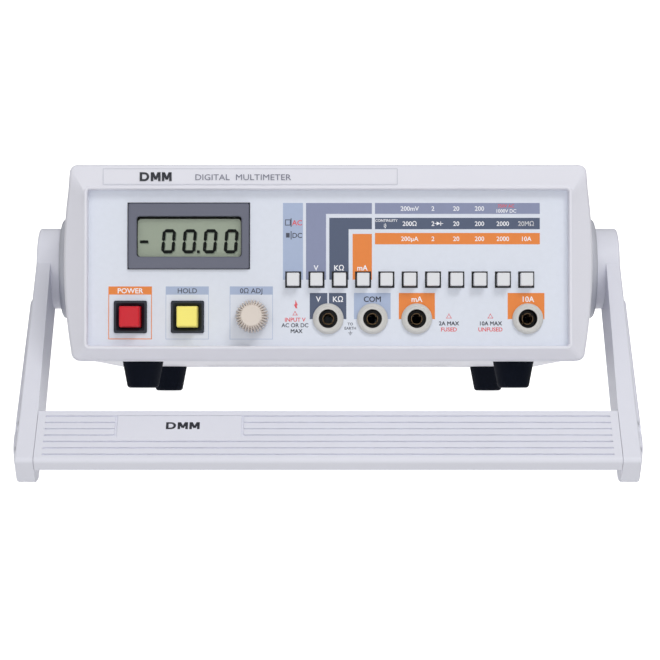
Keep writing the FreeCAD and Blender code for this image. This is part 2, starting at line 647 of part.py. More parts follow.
# ---------------------------------------------------------------- key bank
def key_bank():
    last = key_places[-1]
    span = (S.key_first - S.bank_margin, last + S.bank_margin)
    housing = block(span, (S.bank_front, S.bank_back), around(S.key_level, S.bank_height))
    hole = S.key_stem + 2 * S.key_stem_gap
    hole_back = S.key_stem_back + S.key_travel + S.key_stem_gap
    holes = [block(around(place, hole), (S.bank_front, hole_back), around(S.key_level, hole))
             for place in key_places]
    node("key_switch_bank", cut(housing, *holes))
    for number, place in enumerate(key_places, start=1):
        body = new_body("key_%02d" % number)
        cap_x, cap_z = around(place, S.key_width), around(S.key_level, S.key_height)
        pad(body, "y", (-S.key_proud, S.key_back), lambda sketch: rectangle(sketch, cap_x, cap_z))
        ease(body, "Fillet", S.key_edge,
             lambda edge: runs_along(edge, "y") or lies_at(edge, "y", -S.key_proud))
        pad(body, "y", (S.key_back, S.key_stem_back), lambda sketch: rectangle(
            sketch, around(place, S.key_stem), around(S.key_level, S.key_stem)))


# ---------------------------------------------------------------- jacks
def jacks():
    """Four safety jacks: collar, insulating insert, contact and nut, each a group of four."""
    collars, inserts, contacts, nuts = [], [], [], []
    back = S.jack_back
    for place in jack_places:
        centre = (place, S.jack_level)
        flange = rod("y", (-S.collar_proud, Size.of(0)), centre, jack_thread + 2 * S.collar_lip)
        thread = rod("y", (Size.of(0), back), centre, jack_thread)
        collars.append(cut(fuse(flange, thread), rod("y", (-S.collar_proud, back), centre, insert_outside)))
        plug = rod("y", (-S.insert_front, back), centre, insert_outside)
        recess = rod("y", (-S.insert_front, S.insert_floor), centre, S.jack_bore)
        inserts.append(cut(plug, recess, rod("y", (S.insert_floor, back), centre, contact_outside)))
        pin = rod("y", (S.contact_front, S.contact_back), centre, contact_outside)
        contacts.append(cut(pin, rod("y", (S.contact_front, S.contact_bore_back), centre, S.contact_bore)))
        nut_y = (S.panel_thickness, S.panel_thickness + S.nut_thickness)
        nuts.append(cut(rod("y", nut_y, centre, jack_thread + 2 * S.nut_wall), rod("y", nut_y, centre, jack_thread)))
    node("jack_collars", *collars)
    node("jack_inserts", *inserts)
    node("jack_contacts", *contacts)
    node("jack_nuts", *nuts)


# ---------------------------------------------------------------- boards and what stands on them
def boards():
    board_half = S.board_width / 2
    board_z = (S.board_level, board_top)
    node("main_board", block((-board_half, board_half), board_y, board_z))
    inset = S.standoff_inset
    spots = [(side * (board_half - inset), y) for side in (-1, 1)
             for y in (S.board_front + inset, board_back - inset)]
    node("board_standoffs", *[rod("z", (cover_floor, S.board_level), spot, S.standoff_diameter)
                              for spot in spots])
    core_x = around(S.transformer_x, S.transformer_width)
    core_y = around(S.transformer_y, S.transformer_depth)
    winding_top = board_top + S.transformer_height
    core = block(core_x, grown(core_y, -S.core_margin), (board_top, winding_top))
    windings = block(grown(core_x, -S.core_margin), core_y,
                     (board_top + S.core_margin / 2, winding_top - S.core_margin / 2))
    node("transformer", fuse(core, windings))
    cans = [rod("z", (board_top, board_top + S.capacitor_height),
                (S.capacitor_x, S.capacitor_y + index * S.capacitor_pitch), S.capacitor_diameter)
            for index in (0, 1)]
    node("filter_capacitors", *cans)
    chips = [block(around(S.chip_x, S.chip_length), around(S.chip_y + index * S.chip_pitch, S.chip_width),
                   (board_top, board_top + S.chip_height)) for index in (0, 1)]
    node("converter_chips", *chips)
    fuse_level = board_top + S.fuse_lift + S.fuse_diameter / 2
    tube = rod("y", around(S.fuse_y, S.fuse_length), (S.fuse_x, fuse_level), S.fuse_diameter)
    clip_y = (S.fuse_y - S.fuse_length / 2, S.fuse_y + S.fuse_length / 2 - S.fuse_diameter)
    clips = [block(around(S.fuse_x, S.fuse_diameter), (start, start + S.fuse_diameter),
                   (board_top, fuse_level)) for start in clip_y]
    node("input_fuse", fuse(tube, *clips))
    shunt = new_body("shunt_resistor")
    shunt_y = around(S.shunt_y, S.shunt_span)
    shunt_top = board_top + S.shunt_height
    strip_x = around(S.shunt_x, S.shunt_width)
    pad(shunt, "x", strip_x, lambda sketch: rectangle(sketch, shunt_y, (board_top, shunt_top)))
    pocket(shunt, "x", strip_x, lambda sketch: rectangle(
        sketch, grown(shunt_y, -S.shunt_thickness), (board_top, shunt_top - S.shunt_thickness)))


# ---------------------------------------------------------------- rear panel and its fittings
def rear_panel():
    body = new_body("rear_panel")
    rear_half = inside_half - S.rear_gap
    rear_y = (rear_inner, rear_face)
    pad(body, "y", rear_y, lambda sketch: rectangle(
        sketch, (-rear_half, rear_half), grown((cover_floor, cover_roof), -S.rear_gap)))
    ease(body, "Fillet", S.cover_corner - S.cover_wall, lambda edge: runs_along(edge, "y"))
    pocket(body, "y", rear_y, lambda sketch: rectangle(
        sketch, around(S.inlet_x, S.inlet_width), around(S.inlet_level, S.inlet_height)))
    pocket(body, "y", rear_y,
           lambda sketch: circle(sketch, S.holder_x, S.inlet_level, S.holder_diameter))
    pocket(body, "y", rear_y, lambda sketch: rectangle(
        sketch, around(S.selector_x, S.slot_length), around(S.inlet_level, S.slot_height)))


def mains_inlet():
    inlet = new_body("mains_inlet")
    face = rear_face + S.flange_proud
    front = rear_face - S.inlet_depth
    across, up = around(S.inlet_x, S.flange_width), around(S.inlet_level, S.flange_height)
    pad(inlet, "y", (rear_face, face), lambda sketch: rectangle(sketch, across, up))
    pad(inlet, "y", (front, rear_face), lambda sketch: rectangle(
        sketch, around(S.inlet_x, S.inlet_width), around(S.inlet_level, S.inlet_height)))
    low_x, high_x = around(S.inlet_x, S.socket_width)
    low_z, high_z = around(S.inlet_level, S.socket_height)
    corner = S.socket_corner
    socket = [(low_x, low_z), (high_x, low_z), (high_x, high_z - corner), (high_x - corner, high_z),
              (low_x + corner, high_z), (low_x, high_z - corner)]
    pocket(inlet, "y", (face - S.socket_depth, face), lambda sketch: outline(sketch, socket))
    spots = [(S.inlet_x - S.pin_pitch, S.inlet_level - S.earth_offset / 2),
             (S.inlet_x, S.inlet_level + S.earth_offset / 2),
             (S.inlet_x + S.pin_pitch, S.inlet_level - S.earth_offset / 2)]
    floor = face - S.socket_depth

    def slots(sketch):
        for x, z in spots:
            rectangle(sketch, around(x, S.pin_thickness), around(z, S.pin_width))

    pocket(inlet, "y", (front, floor), slots)
    pins = [block(around(x, S.pin_thickness), (front - S.pin_tail, floor + S.pin_length),
                  around(z, S.pin_width)) for x, z in spots]
    node("inlet_pins", *pins)


def fuse_holder():
    centre = (S.holder_x, S.inlet_level)
    face = rear_face + S.holder_proud
    back = rear_face - S.holder_depth
    flange = rod("y", (rear_face, face), centre, S.holder_flange)
    barrel = rod("y", (back, rear_face), centre, S.holder_diameter)
    plug_front = face - S.plug_length
    bore = rod("y", (plug_front - S.cap_gap, face), centre, S.plug_diameter + 2 * S.plug_fit)
    node("fuse_holder", cut(fuse(flange, barrel), bore))
    cap_y = (face + S.cap_gap, face + S.cap_gap + S.cap_proud)
    knob = rod("y", cap_y, centre, S.cap_diameter)
    plug = rod("y", (plug_front, cap_y[0]), centre, S.plug_diameter)
    slot = block(around(S.holder_x, S.cap_diameter), (cap_y[1] - S.cap_slot_depth, cap_y[1]),
                 around(S.inlet_level, S.cap_slot_width))
    node("fuse_holder_cap", cut(fuse(knob, plug), slot))


def voltage_selector():
    face = rear_face + S.selector_proud
    level = S.inlet_level
    plate = block(around(S.selector_x, S.selector_width), (rear_face, face),
                  around(level, S.selector_height))
    back = rear_face - S.selector_depth
    housing = block(around(S.selector_x, S.slot_length - 2 * S.rear_gap), (back, rear_face),
                    around(level, S.slot_height - 2 * S.cutout_gap))
    slider_start = face - S.slider_back
    track = S.slider_length + S.slider_travel + S.cutout_gap
    window = block((S.selector_x - track / 2, S.selector_x + track / 2), (slider_start - S.cutout_gap, face),
                   around(level, S.slider_height))
    node("voltage_selector", cut(fuse(plate, housing), window))
    slider_x = S.selector_x - S.slider_travel / 2
    slider = block(around(slider_x, S.slider_length), (slider_start, face),
                   around(level, S.slider_height - 2 * S.cutout_gap))
    groove = block(around(slider_x, S.slider_slot), (face - S.slider_slot, face),
                   around(level, S.slider_height))
    node("voltage_selector_slider", cut(slider, groove))


# ---------------------------------------------------------------- handle
def pivot_hubs():
    """The fixed round hubs on the case sides, and the screws that the arms turn on."""
    centre = (S.pivot_y, S.pivot_level)
    screws = []
    arm_face = arm_outer - S.pivot_head_height
    for side, hand in ((-1, "left"), (1, "right")):
        hub = new_body("handle_hub_" + hand)
        hub_x = sided(side, case_half, hub_outer)
        pad(hub, "x", hub_x, lambda sketch: circle(sketch, *centre, S.hub_diameter))
        ease(hub, "Fillet", S.hub_edge, lambda edge: lies_at(edge, "x", side * hub_outer))
        reach = sided(side, hub_outer - S.pivot_reach, hub_outer)
        pocket(hub, "x", reach, lambda sketch: circle(sketch, *centre, S.pivot_screw))
        shank = rod("x", sided(side, hub_outer - S.pivot_reach, arm_face), centre, S.pivot_screw)
        head_outer = arm_outer - S.pivot_head_gap
        head = rod("x", sided(side, arm_face, head_outer), centre, S.pivot_head)
        screws.append(fuse(shank, head))
    node("pivot_screws", *screws)


def handle_arms():
    """The arms lie level here, pointing forward from the pivot at the origin; the stand angle turns them."""
    screw_places = [(-(S.grip_near + S.grip_screw_inset), S.arm_front - S.grip_thickness / 2),
                    (-(grip_far - S.grip_screw_inset), S.arm_front - S.grip_thickness / 2)]
    screws = []
    for side, hand in ((-1, "left"), (1, "right")):
        arm = new_body("handle_arm_" + hand)
        far = -grip_far
        toe_start = far + S.toe_run
        shape = [(Size.of(0), -S.arm_root_half), (Size.of(0), S.arm_root_half),
                 (-S.grip_near, S.arm_front), (far, S.arm_front), (far, -S.toe_back),
                 (toe_start, -S.arm_back)]
        pad(arm, "x", sided(side, arm_inner_grip, arm_outer), lambda sketch: outline(sketch, shape))
        ease(arm, "Fillet", S.toe_round, lambda edge: runs_along(edge, "x")
             and (lies_at(edge, "y", toe_start) or lies_at(edge, "z", -S.toe_back)))
        ease(arm, "Fillet", S.arm_corner, lambda edge: runs_along(edge, "x")
             and lies_at(edge, "y", far) and lies_at(edge, "z", S.arm_front))
        # the inner face draws back towards the pivot
        wedge_x = [side * arm_inner_grip, side * arm_inner_top, side * arm_inner_grip]
        wedge_y = [-S.grip_near, Size.of(0), Size.of(0)]
        wedge = list(zip(wedge_x, wedge_y))
        pocket(arm, "z", grown((-S.arm_root_half, S.arm_root_half), S.arm_corner),
               lambda sketch: outline(sketch, wedge if side < 0 else wedge[::-1]))
        pad(arm, "x", sided(side, boss_inner, arm_outer),
            lambda sketch: circle(sketch, 0, 0, S.boss_diameter))
        ease(arm, "Fillet", S.arm_edge, lambda edge: lies_at(edge, "x", side * arm_outer))
        rail = sided(side, arm_outer - S.arm_edge, rail_outer)
        rail_span = (-S.rail_far, -S.rail_near)
        pad(arm, "x", rail, lambda sketch: rectangle(sketch, rail_span, (-S.rail_half, S.rail_half)))
        ease(arm, "Fillet", S.rail_half - S.arm_edge, lambda edge: runs_along(edge, "x")
             and abs(abs(edge.CenterOfMass.z) - S.rail_half.number) < 1e-3)
        ease(arm, "Fillet", S.arm_edge, lambda edge: lies_at(edge, "x", side * rail_outer))
        bore_x = sided(side, boss_inner, arm_outer)
        pocket(arm, "x", bore_x,
               lambda sketch: circle(sketch, 0, 0, S.pivot_screw + 2 * S.pivot_fit))
        head_x = sided(side, arm_outer - S.pivot_head_height - S.pivot_head_gap, arm_outer)
        pocket(arm, "x", head_x,
               lambda sketch: circle(sketch, 0, 0, S.pivot_head + 2 * S.pivot_head_gap))
        head_face = rail_outer - S.grip_head_height
        for place in screw_places:
            pocket(arm, "x", sided(side, arm_inner_grip, rail_outer),
                   lambda sketch: circle(sketch, *place, S.grip_screw))
            pocket(arm, "x", sided(side, head_face, rail_outer),
                   lambda sketch: circle(sketch, *place, S.grip_screw_head))
            head = rod("x", sided(side, head_face, arm_outer), place, S.grip_screw_head)
            tip = arm_inner_grip - S.grip_screw_reach
            screws.append(fuse(head, rod("x", sided(side, tip, head_face), place, S.grip_screw)))
    node("grip_screws", *screws)
    grip_bar(screw_places)


def grip_bar(screw_places):
    grip = new_body("handle_grip")
    half = arm_inner_grip
    top = S.arm_front
    z = (top - S.grip_thickness, top)
    pad(grip, "x", (-half, half), lambda sketch: rectangle(sketch, (-grip_far, -S.grip_near), z))
    ease(grip, "Fillet", S.arm_corner, lambda edge: runs_along(edge, "x")
         and lies_at(edge, "y", -grip_far) and lies_at(edge, "z", top))
    groove_x = (S.rib_margin - half, half - S.rib_margin)
    start = S.rib_first - grip_far + S.arm_corner
    first = pocket(grip, "z", (top - S.rib_depth, top),
                   lambda sketch: rectangle(sketch, groove_x, (start, start + S.rib_groove)))
    ribs = grip.newObject("PartDesign::LinearPattern", "Ribs")
    ribs.Originals = [first]
    ribs.Direction = (first.Profile[0], ["V_Axis"])
    bind(ribs, "Length", S.rib_pitch * (SIZES["rib_count"] - 1))
    bind(ribs, "Occurrences", S.rib_count)
    grip.Tip = ribs
    for side in (-1, 1):
        for place in screw_places:
            pocket(grip, "x", sided(side, half - S.grip_screw_reach, half),
                   lambda sketch: circle(sketch, *place, S.grip_screw))


# ---------------------------------------------------------------- build
front_bezel()
front_panel()
top_cover()
bottom_cover()
case_screws()
feet()
display()
push_switch("power", S.power_x)
push_switch("hold", S.hold_x)
zero_adjustment()
key_bank()
jacks()
boards()
rear_panel()
mains_inlet()
fuse_holder()
voltage_selector()
pivot_hubs()
handle_arms()
doc.recompute()

# ---------------------------------------------------------------- stance
HANDLE_NODES = ["handle_arm_left", "handle_arm_right", "handle_grip", "grip_screws"]
pivot = FreeCAD.Vector(0, S.pivot_y.number, S.pivot_level.number)
handle_place = FreeCAD.Placement(pivot, FreeCAD.Rotation(FreeCAD.Vector(1, 0, 0), S.stand_angle.number))
for label in HANDLE_NODES:
    nodes[label].Placement = handle_place


def swung_back(degrees):
    """The whole meter turned nose-up about the X axis."""
    return FreeCAD.Rotation(FreeCAD.Vector(1, 0, 0), -degrees)


def lowest(label, degrees):
    shape = nodes[label].Shape.copy()
    shape.Placement = FreeCAD.Placement(FreeCAD.Vector(), swung_back(degrees)) * shape.Placement
    return shape.optimalBoundingBox(False).ZMin


# The tilt at which the handle's toes and the rear feet stand on one level.
level_low, level_high = 0.0, 30.0
while level_high - level_low > 1e-7:
    middle = (level_low + level_high) / 2
    if lowest("handle_arm_right", middle) < lowest("foot_rear_right", middle):
        level_low = middle
    else:
        level_high = middle
tilt = (level_low + level_high) / 2
turned = FreeCAD.Placement(FreeCAD.Vector(), swung_back(tilt))
for sub_part in nodes.values():
    sub_part.Placement = turned * sub_part.Placement
doc.recompute()
boxes = [sub_part.Shape.optimalBoundingBox(False) for sub_part in nodes.values()]
y_middle = (min(each.YMin for each in boxes) + max(each.YMax for each in boxes)) / 2
floor = min(each.ZMin for each in boxes)
shift = FreeCAD.Placement(FreeCAD.Vector(0, -y_middle, -floor), FreeCAD.Rotation())
for sub_part in nodes.values():
    sub_part.Placement = shift * sub_part.Placement
doc.recompute()
stance = shift * turned

# ---------------------------------------------------------------- check and write
for item in doc.Objects:
    if "Invalid" in item.State or "Error" in item.State:
        raise ValueError("%s failed: %s" % (item.Label, item.State))
os.makedirs("parts", exist_ok=True)
for label, sub_part in nodes.items():
    if sub_part.Shape.isNull() or not sub_part.Shape.isValid() or not sub_part.Shape.Solids:
        raise ValueError(label + " has no valid shape")
    sub_part.Shape.exportStep("parts/%s.step" % label)
print("nodes %d, tilt %.4f degrees, stance %s" % (len(nodes), tilt, stance))
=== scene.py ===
import json
import math

import bmesh
import bpy
from mathutils import Matrix, Vector


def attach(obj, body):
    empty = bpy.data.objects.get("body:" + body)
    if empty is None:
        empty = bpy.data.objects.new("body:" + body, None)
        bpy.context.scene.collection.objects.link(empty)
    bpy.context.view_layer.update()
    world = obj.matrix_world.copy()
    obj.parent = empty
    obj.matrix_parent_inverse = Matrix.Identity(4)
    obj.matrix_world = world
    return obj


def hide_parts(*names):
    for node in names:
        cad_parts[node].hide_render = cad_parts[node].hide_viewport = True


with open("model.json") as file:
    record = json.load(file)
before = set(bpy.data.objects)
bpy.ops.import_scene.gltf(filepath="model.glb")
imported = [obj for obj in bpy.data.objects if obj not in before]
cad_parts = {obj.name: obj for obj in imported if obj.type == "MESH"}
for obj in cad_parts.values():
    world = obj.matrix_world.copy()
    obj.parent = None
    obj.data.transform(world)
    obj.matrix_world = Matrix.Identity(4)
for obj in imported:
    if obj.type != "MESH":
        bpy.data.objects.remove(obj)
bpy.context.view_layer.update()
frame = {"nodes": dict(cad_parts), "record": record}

# The looks of a bench multimeter.  Sizes here are millimetres on the level case: X to the right seen
# from the front, Y back from the face of the front panel, Z up from the underside of the case.  The
# LEVEL matrix carries them to the frame, where the meter leans back on its handle.

scene = bpy.context.scene
mounts = {mount["name"]: mount for mount in frame["record"]["mounts"]}

MM = 0.001
JACKS = {"volt_ohm": 0.0, "common": 19.0, "milliamp": 38.0, "ten_amp": 85.6}
JACK_LEVEL = 18.1
JACK_MIDDLE = 9.5                # how far behind the panel's face a contact's bore has its middle
PIVOT = (78.0, 44.0)
STAND_ANGLE = math.radians(47.0)


def level_matrix():
    """From millimetres on the level case to metres in the frame."""
    outward = Vector(mounts["common_jack"]["axis"])
    turn = Matrix.Rotation(-math.atan2(outward.z, -outward.y), 4, "X")
    known = turn @ Vector((JACKS["common"], JACK_MIDDLE, JACK_LEVEL)) * MM
    place = Vector(mounts["common_jack"]["pos_m"]) - known
    return Matrix.Translation(place) @ turn @ Matrix.Scale(MM, 4)


LEVEL = level_matrix()
ARM = LEVEL @ Matrix.Translation((0, PIVOT[0], PIVOT[1])) @ Matrix.Rotation(STAND_ANGLE, 4, "X")


def add_node(tree, kind, *sources, named=(), **settings):
    """A node fed in the order of its sockets, or by their names, with links or values; None leaves a socket alone."""
    made = tree.nodes.new(kind)
    for key, value in settings.items():
        setattr(made, key, value)
    fed = list(zip(made.inputs, sources)) + [(made.inputs[name], source) for name, source in dict(named).items()]
    for socket, source in fed:
        if isinstance(source, bpy.types.NodeSocket):
            tree.links.new(source, socket)
        elif source is not None:
            socket.default_value = source
    return made.outputs


# ---------------------------------------------------------------- camera, lights and floor
def studio_world():
    """A white surround, brightest before the case and dimmer towards its sides."""
    brightest, behind, before, beside = (0.05, -0.92, -0.2), 0.3, 0.91, 0.3
    world = bpy.data.worlds.new("Studio")
    world.use_nodes = True
    tree = world.node_tree
    backdrop = tree.nodes["Background"].inputs
    backdrop["Color"].default_value = (1.0, 1.0, 1.0, 1.0)
    facing = add_node(tree, "ShaderNodeTexCoord")["Generated"]
    toward = add_node(tree, "ShaderNodeVectorMath", facing, brightest, operation="DOT_PRODUCT")["Value"]
    glow = add_node(tree, "ShaderNodeMapRange", toward, -1.0, 1.0, behind, before)["Result"]
    squared = add_node(tree, "ShaderNodeVectorMath", facing, facing, operation="MULTIPLY")["Vector"]
    across = add_node(tree, "ShaderNodeSeparateXYZ", squared)["X"]
    dimming = add_node(tree, "ShaderNodeMapRange", across, 0.0, 1.0, 1.0, beside)["Result"]
    strength = add_node(tree, "ShaderNodeMath", glow, dimming, operation="MULTIPLY")["Value"]
    tree.links.new(strength, backdrop["Strength"])
    scene.world = world


def camera_and_stage():
    lens_mm = 133.6
    stand = Vector((0.8, -1050.0, -19.7))
    aim = math.radians(1.8)
    data = bpy.data.cameras.new("Camera")
    data.lens = lens_mm
    data.sensor_width = 36.0
    data.clip_start = 0.05
    camera = bpy.data.objects.new("Camera", data)
    scene.collection.objects.link(camera)
    camera.location = LEVEL @ stand
    ahead = LEVEL.to_3x3() @ Vector((0.0, math.cos(aim), math.sin(aim)))
    camera.rotation_euler = ahead.to_track_quat("-Z", "Y").to_euler()
    scene.camera = camera

    floor_mesh = bpy.data.meshes.new("Floor")
    reach = 14.0
    floor_mesh.from_pydata([(-reach, -reach, 0), (reach, -reach, 0), (reach, reach, 0), (-reach, reach, 0)],
                           [], [(0, 1, 2, 3)])
    floor = bpy.data.objects.new("Floor", floor_mesh)
    scene.collection.objects.link(floor)
    paint = Finish("floor_paint", {"Roughness": 0.9, "Specular IOR Level": 0.1, "Emission Strength": 1.0,
                                   "Emission Color": (1.0, 1.0, 1.0, 1.0)})
    grain = paint.noise(3.0, detail=2.0)
    paint.colour(paint.mix(grain, (0.93, 0.93, 0.93), (0.95, 0.95, 0.95)))
    floor_mesh.materials.append(paint.data)
    floor.visible_diffuse = False

    studio_world()

    def softbox(name, place, size, power, target=(0.0, 0.0, 0.06)):
        lamp = bpy.data.lights.new(name, "AREA")
        lamp.shape = "RECTANGLE"
        lamp.size, lamp.size_y = size
        lamp.energy = power
        holder = bpy.data.objects.new(name, lamp)
        scene.collection.objects.link(holder)
        holder.location = place
        facing = Vector(target) - Vector(place)
        holder.rotation_euler = facing.to_track_quat("-Z", "Y").to_euler()

    softbox("Key", (0.45, -0.95, 1.25), (0.5, 0.5), 6.5)
    softbox("Fill", (-0.35, -1.5, 0.5), (0.9, 0.9), 2.2)
    softbox("Top", (0.0, 0.1, 1.5), (1.2, 1.0), 1.0)


# ---------------------------------------------------------------- shader maths
class Wire:
    """A value in a finish's node tree; arithmetic on it adds Math nodes."""

    def __init__(self, finish, socket):
        self.finish = finish
        self.socket = socket

    def maths(self, operation, first, second=0.0):
        return self.finish.node("Math", {0: first, 1: second}, operation=operation)

    def __add__(self, other):
        return self.maths("ADD", self, other)

    def __mul__(self, other):
        return self.maths("MULTIPLY", self, other)

    def __radd__(self, other):
        return self.maths("ADD", other, self)

    def __rmul__(self, other):
        return self.maths("MULTIPLY", other, self)


class Finish:
    """A material: its constants sit on the shader, and its methods add what varies."""

    def __init__(self, name, constants=()):
        self.data = bpy.data.materials.new(name)
        self.data.use_nodes = True
        self.tree = self.data.node_tree
        self.shader = self.tree.nodes["Principled BSDF"]
        for key, value in dict(constants).items():
            self.shader.inputs[key].default_value = value
        self.place = self.node("TexCoord", output="Object")

    def node(self, kind, inputs=(), output=0, stops=(), **settings):
        made = self.tree.nodes.new("ShaderNode" + kind)
        for key, value in settings.items():
            setattr(made, key, value)
        for index, (position, grey) in enumerate(stops):
            if index > 1:
                made.color_ramp.elements.new(position)
            made.color_ramp.elements[index].position = position
            made.color_ramp.elements[index].color = (grey, grey, grey, 1.0)
        for key, value in dict(inputs).items():
            self.feed(made.inputs[key], value)
        return Wire(self, made.outputs[output])

    def feed(self, socket, value):
        if isinstance(value, Wire):
            self.tree.links.new(value.socket, socket)
        elif isinstance(value, tuple) and len(value) == 3 and socket.type == "RGBA":
            socket.default_value = (*value, 1.0)
        else:
            socket.default_value = value

    def noise(self, scale, detail=3.0, rough=0.5, stretch=None):
        place = self.place
        if stretch:
            place = self.node("Mapping", {"Vector": place, "Scale": stretch})
        return self.node("TexNoise", {"Vector": place, "Scale": scale, "Detail": detail, "Roughness": rough})

    def ramp(self, value, low, high):
        return self.node("ValToRGB", {"Fac": value}, stops=((low, 0.0), (high, 1.0)))

    def mix(self, amount, first, second):
        return self.node("Mix", {0: amount, 6: first, 7: second}, output=2, data_type="RGBA")

    def colour(self, value):
        self.feed(self.shader.inputs["Base Color"], value)

    def roughness(self, value):
        self.feed(self.shader.inputs["Roughness"], value)

    def bump(self, height, depth, strength=1.0):
        relief = self.node("Bump", {"Height": height, "Distance": depth, "Strength": strength})
        self.feed(self.shader.inputs["Normal"], relief)


def srgb(red, green, blue):
    """A linear colour from the 0 to 255 values that a paint card gives."""
    def linear(channel):
        share = channel / 255.0
        return share / 12.92 if share <= 0.04045 else ((share + 0.055) / 1.055) ** 2.4
    return (linear(red), linear(green), linear(blue))


def shaded(colour, factor):
    return tuple(min(1.0, channel * factor) for channel in colour)


def moulded(name, colour, rough=0.45, grain=1600.0, depth=0.00003, soil=0.06, shine=0.45):
    """Moulded plastic: fine spark-eroded grain, slow shifts of tone and faint handling marks."""
    finish = Finish(name, {"Specular IOR Level": shine})
    slow = finish.noise(14.0, detail=2.0)
    marks = finish.ramp(finish.noise(55.0, detail=6.0, rough=0.65), 0.52, 0.78)
    tone = finish.mix(slow, shaded(colour, 1.0 - soil * 0.6), shaded(colour, 1.0 + soil * 0.35))
    finish.colour(finish.mix(marks * 0.35, tone, shaded(colour, 1.0 - soil)))
    finish.roughness(rough - 0.05 + 0.1 * finish.noise(120.0, detail=3.0) + 0.06 * marks)
    finish.bump(finish.noise(grain, detail=3.0, rough=0.6), depth, 0.6)
    return finish.data


def printed(name, colour, rough=0.42, shine=0.4):
    """Screen-printed ink on the panel's overlay: a little mottle and a soft satin."""
    finish = Finish(name, {"Specular IOR Level": shine})
    mottle = finish.noise(420.0, detail=4.0, rough=0.6)
    finish.colour(finish.mix(mottle, shaded(colour, 0.96), shaded(colour, 1.03)))
    finish.roughness(rough + 0.08 * mottle)
    finish.bump(finish.noise(2600.0, detail=2.0), 0.000012, 0.5)
    return finish.data


def metal(name, colour, rough=0.25, stretch=None):
    """Bare metal with fine scratches, which a stretch draws out one way."""
    finish = Finish(name, {"Metallic": 1.0})
    scratches = finish.noise(700.0, detail=4.0, rough=0.7, stretch=stretch)
    finish.colour(finish.mix(scratches, shaded(colour, 0.85), shaded(colour, 1.08)))
    finish.roughness(rough + 0.15 * scratches)
    finish.bump(scratches, 0.00001, 0.4)
    return finish.data


# ---------------------------------------------------------------- finishes
WHITE = srgb(229, 229, 238)
FINISHES = {
    "case": moulded("case_moulding", WHITE, rough=0.5),
    "handle": moulded("handle_moulding", srgb(229, 230, 240), rough=0.46),
    # the hubs are the handle's white moulding darkened: painted shade for the shadow that the arms throw on them
    "hub": moulded("hub_moulding_painted_shade", srgb(190, 192, 201), rough=0.5),
    "panel": printed("panel_overlay", srgb(222, 227, 238)),
    "slate_moulding": moulded("display_moulding", srgb(98, 101, 117), rough=0.5, grain=2200.0),
    "black_moulding": moulded("black_moulding", srgb(34, 41, 52), rough=0.42, grain=2400.0, shine=0.3),
    "red": moulded("red_button_moulding", srgb(207, 17, 38), rough=0.36, grain=2600.0, depth=0.000015, shine=0.3),
    "yellow": moulded("yellow_button_moulding", srgb(255, 240, 122), rough=0.38, grain=2600.0,
                      depth=0.000015, shine=0.3),
    "cream": moulded("knob_moulding", srgb(224, 213, 203), rough=0.5, grain=2600.0),
    "key": moulded("key_moulding", srgb(226, 227, 231), rough=0.42, grain=2800.0),
    "collar": moulded("jack_collar_moulding", srgb(207, 206, 203), rough=0.4, grain=2600.0),
    "jack_black": moulded("jack_insert_moulding", srgb(14, 13, 15), rough=0.3, grain=2600.0, shine=0.3),
    "rubber": moulded("foot_rubber", srgb(7, 13, 26), shine=0.1, rough=0.8, grain=1800.0, depth=0.00005, soil=0.2),
    "rear": moulded("rear_panel_paint", srgb(214, 215, 222), rough=0.55, grain=3200.0, depth=0.00002),
    "board": moulded("solder_mask", srgb(30, 98, 58), rough=0.35, grain=3000.0),
    "sleeve": moulded("capacitor_sleeve", srgb(32, 44, 92), rough=0.3, grain=900.0, depth=0.00001),
    # near-black for the sleeves in the key holes: painted shade of the gaps round the keys
    "liner": moulded("key_well", srgb(20, 21, 26), rough=0.6, grain=2600.0),
    "contact": metal("spring_bronze", srgb(118, 98, 74), rough=0.3),
    "nickel": metal("nickel_plate", srgb(176, 168, 152), rough=0.22),
    "bright_steel": metal("bright_screw_steel", srgb(212, 214, 222), rough=0.38),
    "steel": metal("zinc_plated_steel", srgb(146, 149, 155), rough=0.28),
    "laminations": metal("transformer_laminations", srgb(96, 98, 102), rough=0.45, stretch=(1, 1, 14)),
    "alloy": metal("shunt_alloy", srgb(186, 140, 92), rough=0.3),
    "ink_orange": printed("orange_ink", srgb(233, 132, 54)),
    "ink_lavender": printed("lavender_ink", srgb(136, 143, 173)),
    "ink_slate": printed("slate_ink", srgb(77, 88, 113)),
    "ink_pale": printed("pale_blue_ink", srgb(169, 183, 211)),
    "ink_white": printed("white_ink", srgb(246, 246, 250)),
    "ink_dark": printed("dark_ink", srgb(66, 70, 86)),
    "ink_grey": printed("grey_ink", srgb(120, 122, 138)),
    "ink_red": printed("red_ink", srgb(222, 84, 92)),
    "ink_mark": printed("nameplate_ink", srgb(40, 42, 52)),
    # dark band round the display surround: painted shade of the gap it sits in
    "painted_gap_shade": printed("gap_shade_paint", srgb(44, 46, 58), rough=0.6),
    "strip_line": printed("strip_edge", srgb(196, 198, 208), rough=0.6),
    "lcd_black": printed("lcd_segment_black", srgb(5, 10, 8), rough=0.5, shine=0.05),
    "lcd_shadow": printed("lcd_shadow_tone", srgb(112, 124, 108), rough=0.4),
}


def lcd_finish():
    """The reflector seen through the liquid crystal: grey-green, with fine grain."""
    finish = Finish("lcd_reflector", {"Specular IOR Level": 0.5, "Roughness": 0.35})
    grain = finish.noise(1500.0, detail=3.0)
    clouds = finish.noise(40.0, detail=2.0)
    finish.colour(finish.mix(0.6 * clouds + 0.4 * grain, srgb(146, 158, 138), srgb(166, 176, 158)))
    finish.roughness(0.3 + 0.15 * grain)
    finish.bump(grain, 0.00001, 0.4)
    return finish.data


